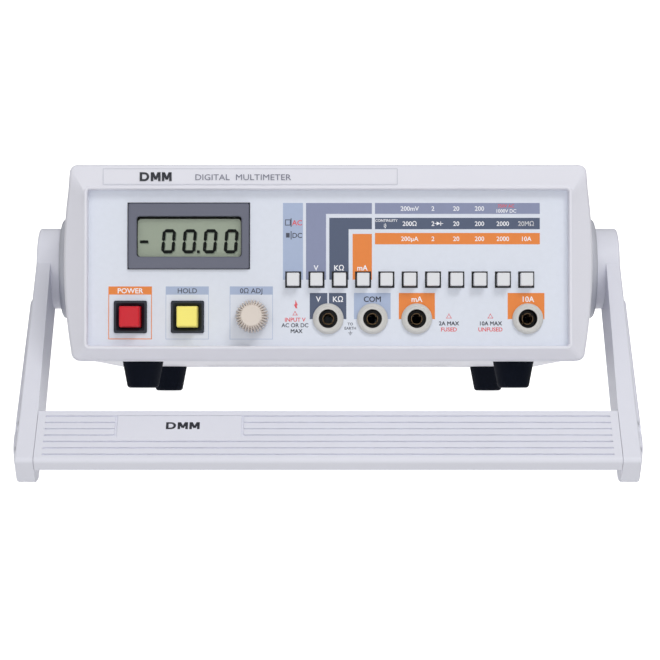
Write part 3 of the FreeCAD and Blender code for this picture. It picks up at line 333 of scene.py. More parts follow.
def clear_finish():
    """Clear acrylic with a few faint wipe marks."""
    finish = Finish("clear_acrylic", {"Alpha": 0.03, "Specular IOR Level": 0.12})
    wipes = finish.noise(90.0, detail=5.0, rough=0.7, stretch=(1, 1, 6))
    finish.colour(finish.mix(wipes, (0.10, 0.11, 0.10), (0.22, 0.23, 0.22)))
    finish.roughness(0.03 + 0.05 * wipes)
    return finish.data


FINISHES["lcd"] = lcd_finish()
FINISHES["clear"] = clear_finish()
FINISHES["fuse_glass"] = FINISHES["clear"]


# ---------------------------------------------------------------- making pieces
def mesh_object(name, mesh):
    thing = bpy.data.objects.new(name, mesh)
    scene.collection.objects.link(thing)
    return thing


def from_bmesh(name, shape):
    mesh = bpy.data.meshes.new(name)
    shape.to_mesh(mesh)
    shape.free()
    return mesh_object(name, mesh)


def finished(name, shape, crisp=None):
    """An object from a shape, normals outwards, and shaded smooth up to an angle if one is given."""
    bmesh.ops.recalc_face_normals(shape, faces=shape.faces)
    thing = from_bmesh(name, shape)
    if crisp:
        smooth(thing.data, crisp)
    return thing


def bridge(shape, rows, ring=False):
    """Faces between loops of vertices; ring joins the last to the first, and otherwise the ends are closed."""
    for near, far in zip(rows, rows[1:] + (rows[:1] if ring else [])):
        for index in range(len(near)):
            following = (index + 1) % len(near)
            shape.faces.new((near[index], near[following], far[following], far[index]))
    if not ring:
        shape.faces.new(rows[0][::-1])
        shape.faces.new(rows[-1])


def lofted(name, loops, ring=False, crisp=None):
    """A piece bridged between loops of equal length, each a depth and its points in X and Z."""
    shape = bmesh.new()
    bridge(shape, [[shape.verts.new((x, depth, z)) for x, z in points] for depth, points in loops], ring)
    return finished(name, shape, crisp)


def apply_modifiers(thing):
    """Make an object's modifiers part of its mesh."""
    evaluated = thing.evaluated_get(bpy.context.evaluated_depsgraph_get())
    finished = bpy.data.meshes.new_from_object(evaluated, preserve_all_data_layers=True,
                                               depsgraph=bpy.context.evaluated_depsgraph_get())
    thing.modifiers.clear()
    thing.data = finished


def smooth(mesh, angle=32.0):
    """Smooth shading, with edges sharper than an angle left crisp."""
    mesh.shade_smooth()
    shape = bmesh.new()
    shape.from_mesh(mesh)
    for edge in shape.edges:
        edge.smooth = len(edge.link_faces) == 2 and edge.calc_face_angle() < math.radians(angle)
    shape.to_mesh(mesh)
    shape.free()


def round_edges(thing, width, segments=2, angle=30.0):
    """Bevel the sharp edges, and keep the flats' shading flat."""
    bevel = thing.modifiers.new("Edges", "BEVEL")
    bevel.width = width
    bevel.segments = segments
    bevel.limit_method = "ANGLE"
    bevel.angle_limit = math.radians(angle)
    bevel.use_clamp_overlap = True
    bevel.miter_outer = "MITER_ARC"
    weighted = thing.modifiers.new("Flats", "WEIGHTED_NORMAL")
    weighted.keep_sharp = True
    weighted.weight = 90
    for face in thing.data.polygons:
        face.use_smooth = True
    apply_modifiers(thing)


def fit_out(thing, body, finish, stands_for=(), place=LEVEL):
    """Put a piece in the frame with its finish, on the body that it moves with."""
    if place is not None:
        thing.data.transform(place)
    thing.data.materials.clear()
    thing.data.materials.append(FINISHES[finish])
    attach(thing, body)
    if stands_for:
        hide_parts(*stands_for)
    return thing


def skin(node, body, finish, width, segments=2):
    """A finer copy of a CAD sub-part: doubles merged, flats joined, sharp edges rounded."""
    mesh = frame["nodes"][node].data.copy()
    mesh.materials.clear()
    shape = bmesh.new()
    shape.from_mesh(mesh)
    bmesh.ops.remove_doubles(shape, verts=shape.verts, dist=2e-6)
    bmesh.ops.dissolve_limit(shape, angle_limit=math.radians(0.8), verts=shape.verts, edges=shape.edges)
    shape.to_mesh(mesh)
    shape.free()
    thing = mesh_object(node + "_skin", mesh)
    round_edges(thing, width * MM, segments)
    return fit_out(thing, body, finish, (node,), place=None)


def keep(node, finish):
    """Leave a CAD sub-part as it is, in a better finish."""
    slots = frame["nodes"][node].data.materials
    slots.clear()
    slots.append(FINISHES[finish])


# ---------------------------------------------------------------- repeats by Geometry Nodes
def copies_tree():
    """Copies of a unit set out along a step, each turned further about Y, then about the start."""
    tree = bpy.data.node_groups.new("Copies", "GeometryNodeTree")
    for name, kind in (("Geometry", "NodeSocketGeometry"), ("Unit", "NodeSocketObject"), ("Count", "NodeSocketInt"),
                       ("Step", "NodeSocketVector"), ("Turn", "NodeSocketFloat"), ("Radius", "NodeSocketFloat"),
                       ("Finish", "NodeSocketMaterial")):
        tree.interface.new_socket(name, in_out="INPUT", socket_type=kind)
    tree.interface.new_socket("Geometry", in_out="OUTPUT", socket_type="NodeSocketGeometry")

    given = tree.nodes.new("NodeGroupInput").outputs
    index = add_node(tree, "GeometryNodeInputIndex")[0]
    angle = add_node(tree, "ShaderNodeMath", index, given["Turn"], operation="MULTIPLY")[0]
    across = add_node(tree, "ShaderNodeMath", angle, operation="SINE")[0]
    along = add_node(tree, "ShaderNodeMath", angle, operation="COSINE")[0]
    ring = add_node(tree, "ShaderNodeCombineXYZ", across, None, along)[0]
    out = add_node(tree, "ShaderNodeVectorMath", ring, named={"Scale": given["Radius"]}, operation="SCALE")[0]
    line = add_node(tree, "GeometryNodeMeshLine", named={"Count": given["Count"], "Offset": given["Step"]},
                    mode="OFFSET")[0]
    placed = add_node(tree, "GeometryNodeSetPosition", named={"Geometry": line, "Offset": out})[0]
    facing = add_node(tree, "ShaderNodeCombineXYZ", None, angle)[0]
    unit = add_node(tree, "GeometryNodeObjectInfo", named={"Object": given["Unit"]})["Geometry"]
    copies = add_node(tree, "GeometryNodeInstanceOnPoints",
                      named={"Points": placed, "Instance": unit, "Rotation": facing})[0]
    real = add_node(tree, "GeometryNodeRealizeInstances", copies)[0]
    coloured = add_node(tree, "GeometryNodeSetMaterial", named={"Geometry": real, "Material": given["Finish"]})[0]
    tree.links.new(coloured, tree.nodes.new("NodeGroupOutput").inputs[0])
    return tree


COPIES = copies_tree()


def repeated(name, unit, finish, count, step=(0.0, 0.0, 0.0), turn=0.0, radius=0.0, start=(0.0, 0.0, 0.0)):
    """Set a unit out by the Copies tree, and bring back one plain mesh."""
    holder = mesh_object(name, bpy.data.meshes.new(name))
    modifier = holder.modifiers.new("Copies", "NODES")
    modifier.node_group = COPIES
    wanted = {"Unit": unit, "Count": count, "Step": step, "Turn": turn, "Radius": radius,
              "Finish": FINISHES[finish]}
    for socket in COPIES.interface.items_tree:
        if socket.in_out == "INPUT" and socket.name in wanted:
            modifier[socket.identifier] = wanted[socket.name]
    apply_modifiers(holder)
    bpy.data.objects.remove(unit)
    holder.data.transform(Matrix.Translation(start))
    return holder


def joined(name, things):
    """One object from several."""
    shape = bmesh.new()
    for thing in things:
        shape.from_mesh(thing.data)
        bpy.data.objects.remove(thing)
    return from_bmesh(name, shape)


def turned(name, profile, centre=(0.0, 0.0), steps=64, closed=True):
    """A lathed piece about the Y axis, from (radius, depth) pairs; closed joins the last to the first."""
    angles = [2 * math.pi * index / steps for index in range(steps)]
    loops = [(depth, [(centre[0] + radius * math.cos(a), centre[1] + radius * math.sin(a)) for a in angles])
             for radius, depth in profile]
    return lofted(name, loops, ring=closed, crisp=35.0)


# ---------------------------------------------------------------- printing on the panel
INK = 0.02


def slab(shape, corners, front, back):
    """A flat plate in X and Z, from one depth to another."""
    near = [shape.verts.new((x, front, z)) for x, z in corners]
    far = [shape.verts.new((x, back, z)) for x, z in corners]
    count = len(corners)
    shape.faces.new(near)
    shape.faces.new(far[::-1])
    for index in range(count):
        following = (index + 1) % count
        shape.faces.new((near[index], far[index], far[following], near[following]))


def patch(shape, x, z, layer=1):
    """A printed rectangle; a higher layer lies over a lower one."""
    slab(shape, [(x[0], z[0]), (x[1], z[0]), (x[1], z[1]), (x[0], z[1])], -INK * layer, 0.0)


def scooped(shape, x, centre):
    """A printed tab whose foot goes round a jack's collar."""
    radius, level = 6.1, JACK_LEVEL
    corners = [(x[1], PATCH_Z[0]), (x[1], PATCH_Z[1]), (x[0], PATCH_Z[1]), (x[0], PATCH_Z[0])]
    angles = [math.radians(180.0 - 7.5 * index) for index in range(25)]
    rim = [(centre + radius * math.cos(a), level + radius * math.sin(a)) for a in angles]
    rim = [(px, pz) for px, pz in rim if x[0] < px < x[1]]
    if x[1] < centre + radius:
        reach = math.sqrt(radius ** 2 - (x[1] - centre) ** 2)
        corners[0] = (x[1], level + reach)
    if x[0] > centre - radius:
        reach = math.sqrt(radius ** 2 - (x[0] - centre) ** 2)
        corners[3] = (x[0], level + reach)
    slab(shape, corners + rim, -INK, 0.0)


def frame_line(shape, x, z, width, layer=1):
    """A printed rectangle drawn as four strokes."""
    patch(shape, (x[0], x[1]), (z[0], z[0] + width), layer)
    patch(shape, (x[0], x[1]), (z[1] - width, z[1]), layer)
    patch(shape, (x[0], x[0] + width), (z[0] + width, z[1] - width), layer)
    patch(shape, (x[1] - width, x[1]), (z[0] + width, z[1] - width), layer)


def print_area(name, finish, draw, depth=0.0):
    """One printed piece of one ink, laid at a depth."""
    shape = bmesh.new()
    draw(shape)
    thing = finished(name, shape)
    if depth:
        thing.data.transform(Matrix.Translation((0.0, depth, 0.0)))
    return fit_out(thing, "root", finish)


def word(text, x, z, height, bold=0.0, wide=1.0, layer=2):
    """One word of lettering as a thin solid, its middle at x and its foot at z."""
    curve = bpy.data.curves.new("Word", "FONT")
    curve.body = text
    cap_share = 0.729
    curve.size = height / cap_share
    curve.align_x = "CENTER"
    curve.extrude = INK / 2
    curve.offset = 0.0 if "M" in text else bold
    curve.resolution_u = 3
    holder = bpy.data.objects.new("Word", curve)
    scene.collection.objects.link(holder)
    evaluated = holder.evaluated_get(bpy.context.evaluated_depsgraph_get())
    mesh = bpy.data.meshes.new_from_object(evaluated)
    bpy.data.objects.remove(holder)
    stand = Matrix.Translation((x, -INK * layer + INK / 2, z)) @ Matrix.Rotation(math.radians(90), 4, "X")
    mesh.transform(stand @ Matrix.Diagonal((wide, 1.0, 1.0, 1.0)))
    if "M" in text and bold:
        mesh = struck_again(mesh, max(0.05, bold * 0.8))
    return mesh


def struck_again(mesh, aside):
    """The offset setting spoils a capital M, so its word is made heavier by striking it four times."""
    shape = bmesh.new()
    for across, up in ((-aside, -aside), (aside, -aside), (-aside, aside), (aside, aside)):
        mesh.transform(Matrix.Translation((across, 0.0, up)))
        shape.from_mesh(mesh)
        mesh.transform(Matrix.Translation((-across, 0.0, -up)))
    shape.to_mesh(mesh)
    shape.free()
    return mesh


def lettering(name, finish, meshes, body="root", place=LEVEL):
    """Several words joined into one piece of one ink."""
    shape = bmesh.new()
    for mesh in meshes:
        shape.from_mesh(mesh)
        bpy.data.meshes.remove(mesh)
    bmesh.ops.remove_doubles(shape, verts=shape.verts, dist=1e-4)
    return fit_out(from_bmesh(name, shape), body, finish, place=place)


# ---------------------------------------------------------------- the printed panel
KEYS = [-15.0 + 10.0 * index for index in range(11)]
KEY_LEVEL = 34.9
BAND_ROWS = ((63.2, 67.9), (56.6, 61.5), (50.1, 55.0))
TABLE_RIGHT = 90.9
TABLE_LEFT = 20.1
COLUMNS = ((-9.5, -0.9), (0.5, 8.8), (10.5, 18.8))
COLUMN_FOOT = 34.9
PATCH_Z = (17.9, 29.2)
KEY_HOLE = (3.25, 3.35)


def hooked(shape, column, row, key, reach=None):
    """A column standing astride its key, which may turn the corner into a band towards the table."""
    above = KEY_LEVEL + KEY_HOLE[1]
    corners = [(column[0], COLUMN_FOOT), (key - KEY_HOLE[0], COLUMN_FOOT), (key - KEY_HOLE[0], above),
               (key + KEY_HOLE[0], above), (key + KEY_HOLE[0], COLUMN_FOOT), (column[1], COLUMN_FOOT)]
    if reach:
        corners += [(column[1], row[0]), (reach, row[0]), (reach, row[1])]
    else:
        corners += [(column[1], row[1])]
    slab(shape, corners + [(column[0], row[1])], -INK, 0.0)


def panel_print():
    """The bands and columns of the range table, the jacks' tabs and the boxes round the switches."""
    switch_box = (9.3, 32.0)
    header = 3.5
    line = 0.35

    def titled(shape, x, stroke):
        frame_line(shape, x, switch_box, stroke)
        patch(shape, (x[0] + stroke, x[1] - stroke), (switch_box[1] - header, switch_box[1] - stroke))

    def orange(shape):
        titled(shape, (-94.3, -75.6), line)
        hooked(shape, COLUMNS[2], (0.0, BAND_ROWS[2][1] - 0.4), KEYS[3])
        patch(shape, (TABLE_LEFT, TABLE_RIGHT), BAND_ROWS[2])
        scooped(shape, (30.3, 45.8), JACKS["milliamp"])
        scooped(shape, (77.0, 92.8), JACKS["ten_amp"])

    def lavender(shape):
        hooked(shape, COLUMNS[0], BAND_ROWS[0], KEYS[1], COLUMNS[2][1])
        patch(shape, (TABLE_LEFT, TABLE_RIGHT), BAND_ROWS[0])

    def slate(shape):
        hooked(shape, COLUMNS[1], BAND_ROWS[1], KEYS[2], COLUMNS[2][1])
        patch(shape, (TABLE_LEFT, TABLE_RIGHT), BAND_ROWS[1])
        scooped(shape, (0.35, 7.8), JACKS["volt_ohm"])
        scooped(shape, (-7.9, -0.35), JACKS["volt_ohm"])

    def pale(shape):
        hooked(shape, (-19.4, -10.8), (0.0, BAND_ROWS[0][1]), KEYS[0])
        scooped(shape, (11.1, 26.8), JACKS["common"])
        for x in ((-69.7, -51.2), (-42.2, -23.7)):
            titled(shape, x, 0.2)

    print_area("orange_print", "ink_orange", orange)
    print_area("lavender_print", "ink_lavender", lavender)
    print_area("slate_print", "ink_slate", slate)
    print_area("pale_print", "ink_pale", pale)


def panel_words():
    """The numbers of the range table and the names of the jacks and switches."""
    small, plain = 2.0, 2.3
    rows = [0.5 * (low + high) - small / 2 for low, high in BAND_ROWS]
    table = (("200mV", "2", "20", "200", None, None), ("200Ω", "2", "20", "200", "2000", "20MΩ"),
             ("200µA", "2", "20", "200", "2000", "10A"))
    white = [word(text, KEYS[5 + column], row, small, bold=0.03)
             for row, texts in zip(rows, table) for column, text in enumerate(texts) if text]
    white += [word("1000V DC", KEYS[9] + 1.4, BAND_ROWS[0][0] + 0.55, 1.5, bold=0.03),
              word("CONTINUITY", TABLE_LEFT + 4.9, BAND_ROWS[1][1] - 1.7, 1.15, bold=0.02)]
    names = ("V", "KΩ", "mA")
    white += [word(text, 0.5 * sum(column), 38.9, plain, bold=0.06)
              for text, column in zip(names, COLUMNS)]
    white += [word("V", -4.2, 25.4, 2.4, bold=0.05), word("KΩ", 4.2, 25.4, 2.4, bold=0.05),
              word("mA", JACKS["milliamp"], 25.4, 2.4, bold=0.05),
              word("10A", JACKS["ten_amp"], 25.4, 2.4, bold=0.05),
              word("POWER", -84.95, 29.1, 2.2, bold=0.06, wide=1.05)]
    lettering("white_lettering", "ink_white", white)
    dark = [word("HOLD", -60.45, 29.1, 2.2, bold=0.03, wide=1.02),
            word("0Ω ADJ", -32.95, 29.1, 2.2, bold=0.03, wide=1.02),
            word("COM", JACKS["common"], 25.4, 2.4, bold=0.03)]
    lettering("dark_lettering", "ink_dark", dark)
    red = [word("750V AC", KEYS[9] + 1.4, BAND_ROWS[0][0] + 2.75, 1.4, bold=0.03),
           word("AC", -13.3, 58.3, 2.3, bold=0.05)]
    lettering("red_lettering", "ink_red", red)
    lettering("alternating_mark", "ink_dark", [word("DC", -13.3, 52.9, 2.2, bold=0.05)])


def key_symbols():
    """Beside AC and DC: a key shown in and a key shown out; and the diode and buzzer signs."""
    def sunk(shape):
        frame_line(shape, (-18.5, -16.1), (58.2, 60.8), 0.35, layer=2)
        patch(shape, (-16.1, -15.7), (57.6, 61.3), layer=2)
        patch(shape, (-18.1, -16.5), (53.0, 55.0), layer=2)
        patch(shape, (-16.1, -15.7), (52.2, 55.8), layer=2)

    def signs(shape):
        middle = 0.5 * sum(BAND_ROWS[1])
        x = KEYS[6] + 2.6
        slab(shape, [(x - 1.0, middle - 0.8), (x + 0.6, middle), (x - 1.0, middle + 0.8)], -2 * INK, -INK)
        patch(shape, (x + 0.6, x + 0.9), (middle - 0.9, middle + 0.9), layer=2)
        patch(shape, (x - 1.9, x - 1.0), (middle - 0.12, middle + 0.12), layer=2)
        patch(shape, (x + 0.9, x + 1.8), (middle - 0.12, middle + 0.12), layer=2)
        for index in range(3):
            radius = 0.5 + 0.4 * index
            arc(shape, (TABLE_LEFT + 3.4, middle - 1.0), radius, radius + 0.18, -50.0, 50.0)

    print_area("key_position_signs", "ink_dark", sunk)
    print_area("diode_and_buzzer_signs", "ink_white", signs)


def arc(shape, centre, inner, outer, start, stop, steps=8):
    """A printed ring segment."""
    angles = [math.radians(start + (stop - start) * index / steps) for index in range(steps + 1)]
    rim = [(centre[0] + outer * math.cos(a), centre[1] + outer * math.sin(a)) for a in angles]
    back = [(centre[0] + inner * math.cos(a), centre[1] + inner * math.sin(a)) for a in reversed(angles)]
    slab(shape, rim + back, -2 * INK, -INK)


def rating_notes():
    """Beside the jacks, the input ratings in plain words, with bare triangles over them."""
    earth_x = 9.5

    def triangle(shape, x, z, size, line=0.22):
        height = size * 0.87
        outer = [(x - size / 2, z), (x + size / 2, z), (x, z + height)]
        corners = outer + outer[:1]
        for (ax, az), (bx, bz) in zip(corners, corners[1:]):
            run = Vector((bx - ax, 0.0, bz - az)).normalized()
            side = Vector((-run.z, 0.0, run.x)) * line
            slab(shape, [(ax, az), (bx, bz), (bx + side.x, bz + side.z), (ax + side.x, az + side.z)], -INK, 0.0)

    def red(shape):
        triangle(shape, -14.2, 19.6, 2.2)
        triangle(shape, 51.8, 18.3, 2.4)
        triangle(shape, 69.6, 18.3, 2.4)
        slab(shape, [(-13.9, 22.6), (-14.7, 24.2), (-14.2, 24.3), (-14.0, 26.2), (-13.0, 23.9),
                     (-13.5, 23.8), (-13.2, 22.6)], -INK, 0.0)

    def dark(shape):
        for index, width in enumerate((1.8, 1.2, 0.6)):
            foot = 12.0 - 0.45 * index
            patch(shape, (earth_x - width / 2, earth_x + width / 2), (foot, foot + 0.2))
        patch(shape, (earth_x - 0.1, earth_x + 0.1), (12.2, 13.0))

    notes = {"ink_red": ((-14.2, 16.9, "INPUT V"), (51.8, 12.7, "FUSED"), (69.6, 12.7, "UNFUSED")),
             "ink_dark": ((-14.2, 14.5, "AC OR DC"), (-13.6, 12.0, "MAX"), (51.8, 15.3, "2A MAX"),
                          (69.6, 15.3, "10A MAX"))}
    for finish, places in notes.items():
        meshes = [word(text, x, z, 1.75, bold=0.05, layer=1) for x, z, text in places]
        if finish == "ink_dark":
            meshes += [word("TO", earth_x, 15.3, 1.2, bold=0.03, layer=1),
                       word("EARTH", earth_x, 13.5, 1.2, bold=0.03, layer=1)]
        lettering(finish + "_notes", finish, meshes)
    print_area("red_small_print", "ink_red", red)
    print_area("dark_small_print", "ink_dark", dark)


def mark_letters(x, z, height, step):
    """The three letters of the plain mark, drawn heavy; x is their middle."""
    stroke = 0.28 * height
    half = 0.55 * height

    def upright(shape, left, foot, tall):
        slab(shape, [(left, foot), (left + stroke, foot), (left + stroke, foot + tall), (left, foot + tall)],
             -INK, 0.0)

    def letter_m(shape, middle):
        upright(shape, middle - half, z, height)
        upright(shape, middle + half - stroke, z, height)
        for side in (-1, 1):
            slab(shape, [(middle + side * half, z + height), (middle + side * (half - stroke * 1.25), z + height),
                         (middle - side * stroke * 0.35, z + height * 0.28),
                         (middle + side * stroke * 0.35, z + height * 0.12)], -INK, 0.0)

    def letter_d(shape, middle):
        left = middle - half
        outer, inner = [], []
        for index in range(13):
            angle = math.radians(-90.0 + 15.0 * index)
            outer.append((middle - 0.02 * height + half * math.cos(angle), z + height / 2 * (1 + math.sin(angle))))
            inner.append((middle - 0.02 * height + (half - stroke) * math.cos(angle),
                          z + height / 2 + (height / 2 - stroke * 0.8) * math.sin(angle)))
        edge = [(left + stroke * 0.9, z)] + outer + [(left + stroke * 0.9, z + height)]
        back = [(left + stroke * 0.9, z + stroke * 0.8)] + inner + [(left + stroke * 0.9, z + height - stroke * 0.8)]
        slab(shape, edge + back[::-1], -INK, 0.0)
        upright(shape, left, z, height)

    shape = bmesh.new()
    letter_d(shape, x - step)
    letter_m(shape, x)
    letter_m(shape, x + step)
    bmesh.ops.recalc_face_normals(shape, faces=shape.faces)
    mesh = bpy.data.meshes.new("mark")
    shape.to_mesh(mesh)
    shape.free()
    return mesh


def nameplate():
    """The words on the bezel's name strip, and the plain mark that stands on it and on the grip."""
    print_area("name_strip_edge", "strip_line",
               lambda shape: frame_line(shape, (-96.4, 29.7), (75.4, 82.3), 0.22), BEZEL_FRONT)
    strip = [mark_letters(-73.8, 76.9, 3.8, 4.75)]
    place = LEVEL @ Matrix.Translation((0.0, BEZEL_FRONT, 0.0))
    lettering("bezel_mark", "ink_mark", strip, place=place)
    words = [word("DIGITAL", -49.6, 77.35, 2.6, wide=1.12, layer=1),
             word("MULTIMETER", -27.8, 77.35, 2.6, wide=1.15, layer=1)]
    lettering("bezel_words", "ink_grey", words, place=place)


# ---------------------------------------------------------------- display
WINDOW_X = (-82.1, -37.2)
WINDOW_Z = (44.7, 62.1)
FRAME_X = (-85.7, -34.0)
FRAME_Z = (39.6, 67.6)
DISPLAY_PROUD = 1.6
COLLAR_BACK = 6.0


def rounded_loop(x, z, radius, steps=5):
    """The points of a rounded rectangle, anticlockwise seen from the front."""
    points = []
    centres = ((x[1] - radius, z[0] + radius, -90), (x[1] - radius, z[1] - radius, 0),
               (x[0] + radius, z[1] - radius, 90), (x[0] + radius, z[0] + radius, 180))
    for cx, cz, start in centres:
        for index in range(steps + 1):
            angle = math.radians(start + 90.0 * index / steps)
            points.append((cx + radius * math.cos(angle), cz + radius * math.sin(angle)))
    return points


def shrunk(span, margin):
    """A span with a margin taken off both ends."""
    return (span[0] + margin, span[1] - margin)


def display_frame():
    """The surround: a bevelled frame with a well that runs back to the window."""
    front = -DISPLAY_PROUD
    loops = [(0.0, rounded_loop(FRAME_X, FRAME_Z, 0.9)),
             (front + 0.45, rounded_loop(FRAME_X, FRAME_Z, 0.9)),
             (front + 0.12, rounded_loop(shrunk(FRAME_X, 0.13), shrunk(FRAME_Z, 0.13), 0.8)),
             (front, rounded_loop(shrunk(FRAME_X, 0.45), shrunk(FRAME_Z, 0.45), 0.7)),
             (front, rounded_loop(shrunk(WINDOW_X, -0.55), shrunk(WINDOW_Z, -0.55), 1.7)),
             (front + 0.15, rounded_loop(shrunk(WINDOW_X, -0.15), shrunk(WINDOW_Z, -0.15), 1.4)),
             (front + 0.5, rounded_loop(WINDOW_X, WINDOW_Z, 1.2)),
             (COLLAR_BACK - 5.0, rounded_loop(WINDOW_X, WINDOW_Z, 1.2)),
             (COLLAR_BACK - 5.0, rounded_loop(shrunk(WINDOW_X, -2.2), shrunk(WINDOW_Z, -2.2), 1.0)),
             (0.0, rounded_loop(shrunk(WINDOW_X, -2.2), shrunk(WINDOW_Z, -2.2), 1.0))]
    thing = lofted("display_surround", loops, ring=True, crisp=50.0)
    fit_out(thing, "root", "slate_moulding", ("display_frame",))


def seven_segment(shape, x, z, segments, width=5.75, height=10.4, stroke=1.38, slant=0.08):
    """One slanted digit: the lit bars have pointed ends and a hair of space between them."""
    half, gap = stroke / 2, 0.12
    left, right = half, width - half
    low, middle, high = half, height / 2, height - half
    bars = {"a": ((left, high), (right, high)), "g": ((left, middle), (right, middle)),
            "d": ((left, low), (right, low)), "f": ((left, middle), (left, high)),
            "b": ((right, middle), (right, high)), "e": ((left, low), (left, middle)),
            "c": ((right, low), (right, middle))}
    for name in segments:
        (ax, az), (bx, bz) = bars[name]
        run = Vector((bx - ax, bz - az)).normalized()
        side = Vector((-run.y, run.x)) * half
        start = Vector((ax, az)) + run * gap
        stop = Vector((bx, bz)) - run * gap
        blunt = run * half * 0.75
        ends = [start - side * 0.25, start + blunt - side, stop - blunt - side, stop - side * 0.25,
                stop + side * 0.25, stop - blunt + side, start + blunt + side, start + side * 0.25]
        corners = [(x + point.x + slant * point.y, z + point.y) for point in ends]
        slab(shape, corners, -0.02, 0.0)


def lcd():
    """The cell behind the window, its digits, and the shadow they throw on the reflector."""
    depth = 1.35
    rim = rounded_loop(shrunk(WINDOW_X, -0.6), shrunk(WINDOW_Z, -0.6), 0.5)
    fit_out(lofted("lcd_cell", [(depth + 2.4, rim), (depth, rim)]), "root", "lcd", ("lcd_glass",))

    def reading(shape):
        for x in (-71.9, -62.9, -54.0, -45.0):
            seven_segment(shape, x, 46.3, "abcdef")
        slab(shape, [(-80.9, 50.7), (-77.4, 50.7), (-77.4, 51.9), (-80.9, 51.9)], -0.02, 0.0)
        slab(shape, [(-56.4, 46.4), (-55.2, 46.4), (-55.2, 47.6), (-56.4, 47.6)], -0.02, 0.0)

    for name, finish, offset in (("lcd_digits", "lcd_black", (0.0, depth - 0.04, 0.0)),
                                 ("lcd_digit_shadows", "lcd_shadow", (0.32, depth - 0.005, -0.42))):
        digits = bmesh.new()
        reading(digits)
        thing = finished(name, digits)
        thing.data.transform(Matrix.Translation(offset))
        fit_out(thing, "root", finish)


def display_window():
    """The clear window; the black mask round the cell, whose wide top band is partly a painted shadow; and a dark band
    round the surround, which is painted shade of the gap that it sits in.
    """
    skin("display_window", "root", "clear", 0.1, 1)
    back, front = 1.34, 1.22
    # The mask shows 0.25 mm inside the window at the sides, 0.1 mm at the foot and 1 mm at the top: a black mask, with
    # the shadow that the surround's upper edge throws on the cell painted into its top band.
    inner = rounded_loop(shrunk(WINDOW_X, 0.25), (WINDOW_Z[0] + 0.1, WINDOW_Z[1] - 1.0), 1.5)
    outer = rounded_loop(shrunk(WINDOW_X, -0.3), shrunk(WINDOW_Z, -0.3), 0.5)
    mask_and_shadow = lofted("lcd_mask", [(back, outer), (front, outer), (front, inner), (back, inner)], ring=True)
    fit_out(mask_and_shadow, "root", "lcd_black")
    # The dark band, 0.5 mm outside the surround and 0.3 mm at its foot, is painted shade of the gap round it.
    gap_shade_z = (FRAME_Z[0] - 0.3, FRAME_Z[1] + 0.5)
    print_area("display_gap", "painted_gap_shade", lambda shape: frame_line(shape, shrunk(FRAME_X, -0.5), gap_shade_z, 1.3))


# ---------------------------------------------------------------- controls
def knob():
    """The zero-adjust knob: a tapering core, a dished face and ridges that run down its skirt."""
    x, z = -32.65, 19.1
    ridges = 30
    core = turned("knob_core", [(5.7, -1.0), (5.75, -1.3), (5.6, -4.0), (4.95, -9.0), (4.6, -11.2), (4.45, -11.8),
                                (4.1, -12.0), (3.6, -11.95), (2.4, -11.75), (0.4, -11.7)],
                  (x, z), steps=90, closed=False)
    # depth, how far out the ridge reaches, half its width there
    stations = ((-1.0, 6.9, 0.38), (-1.4, 7.08, 0.40), (-4.0, 6.95, 0.38), (-8.0, 6.3, 0.34), (-10.6, 5.65, 0.30),
                (-11.4, 5.25, 0.24), (-11.7, 4.8, 0.12))
    loops = [(depth, ((-half, reach - 1.6), (-half, reach - 0.22), (-half * 0.45, reach), (half * 0.45, reach),
                      (half, reach - 0.22), (half, reach - 1.6))) for depth, reach, half in stations]
    ridge = lofted("knob_ridge", loops, crisp=60.0)
    skirt = repeated("knob_ridges", ridge, "cream", ridges, turn=2 * math.pi / ridges, start=(x, 0.0, z))
    fit_out(joined("zero_knob_cap", (core, skirt)), "zero_knob", "cream", ("zero_adjust_knob",))


def push_buttons():
    """The two push switches: tapered caps with a shallow dish, in surrounds that slope in to them."""
    level = 18.9
    wide, tall, opening = 7.1, 6.95, 4.95
    # depth, half the width, half the height, corner
    cap = [(depth, half, half, corner) for depth, half, corner in
           ((1.2, 4.6, 0.5), (0.0, 4.6, 0.5), (-6.6, 4.35, 0.55), (-7.1, 4.28, 0.6), (-7.4, 4.05, 0.7),
            (-7.5, 3.7, 0.7), (-7.46, 3.2, 0.7), (-7.3, 1.8, 0.6))]
    surround = ((0.0, wide, tall, 0.7), (-0.85, wide, tall, 0.7), (-1.2, wide - 0.35, tall - 0.35, 0.6),
                (-1.2, wide - 1.0, tall - 1.0, 0.6), (-0.2, opening + 0.15, opening + 0.15, 0.5),
                (0.0, opening, opening, 0.5))
    for name, finish, slot, x in (("power", "red", "button_red", -84.8), ("hold", "yellow", "button_yellow", -60.3)):
        def squares(stations):
            return [(depth, rounded_loop((x - half_x, x + half_x), (level - half_z, level + half_z), corner))
                    for depth, half_x, half_z, corner in stations]

        fit_out(lofted(name + "_cap", squares(cap), crisp=40.0), name + "_push", finish, (name + "_button",))
        fit_out(lofted(name + "_frame", squares(surround), ring=True, crisp=30.0), "root",
                "black_moulding", (name + "_switch_surround",))
    for number in range(1, len(KEYS) + 1):
        node = "key_%02d" % number
        skin(node, node + "_push", "key", 0.12, 2)


def key_liners():
    """A dark sleeve in the panel behind each key, which shows as the gap round it; its near-black is painted shade of
    that gap.
    """
    wide, tall = KEY_HOLE
    loops = [(depth, ((-x, -z), (x, -z), (x, z), (-x, z))) for depth, x, z in
             ((-0.1, wide + 0.2, tall + 0.2), (-0.1, wide - 0.3, tall - 0.3), (1.9, wide - 0.3, tall - 0.3),
              (1.9, wide - 0.02, tall - 0.02), (0.0, wide - 0.02, tall - 0.02), (0.0, wide + 0.2, tall + 0.2))]
    shade_liners = repeated("key_liners", lofted("liner", loops, ring=True), "liner", len(KEYS), step=(10.0, 0.0, 0.0),
                      start=(KEYS[0], -0.005, KEY_LEVEL))
    fit_out(shade_liners, "root", "liner")


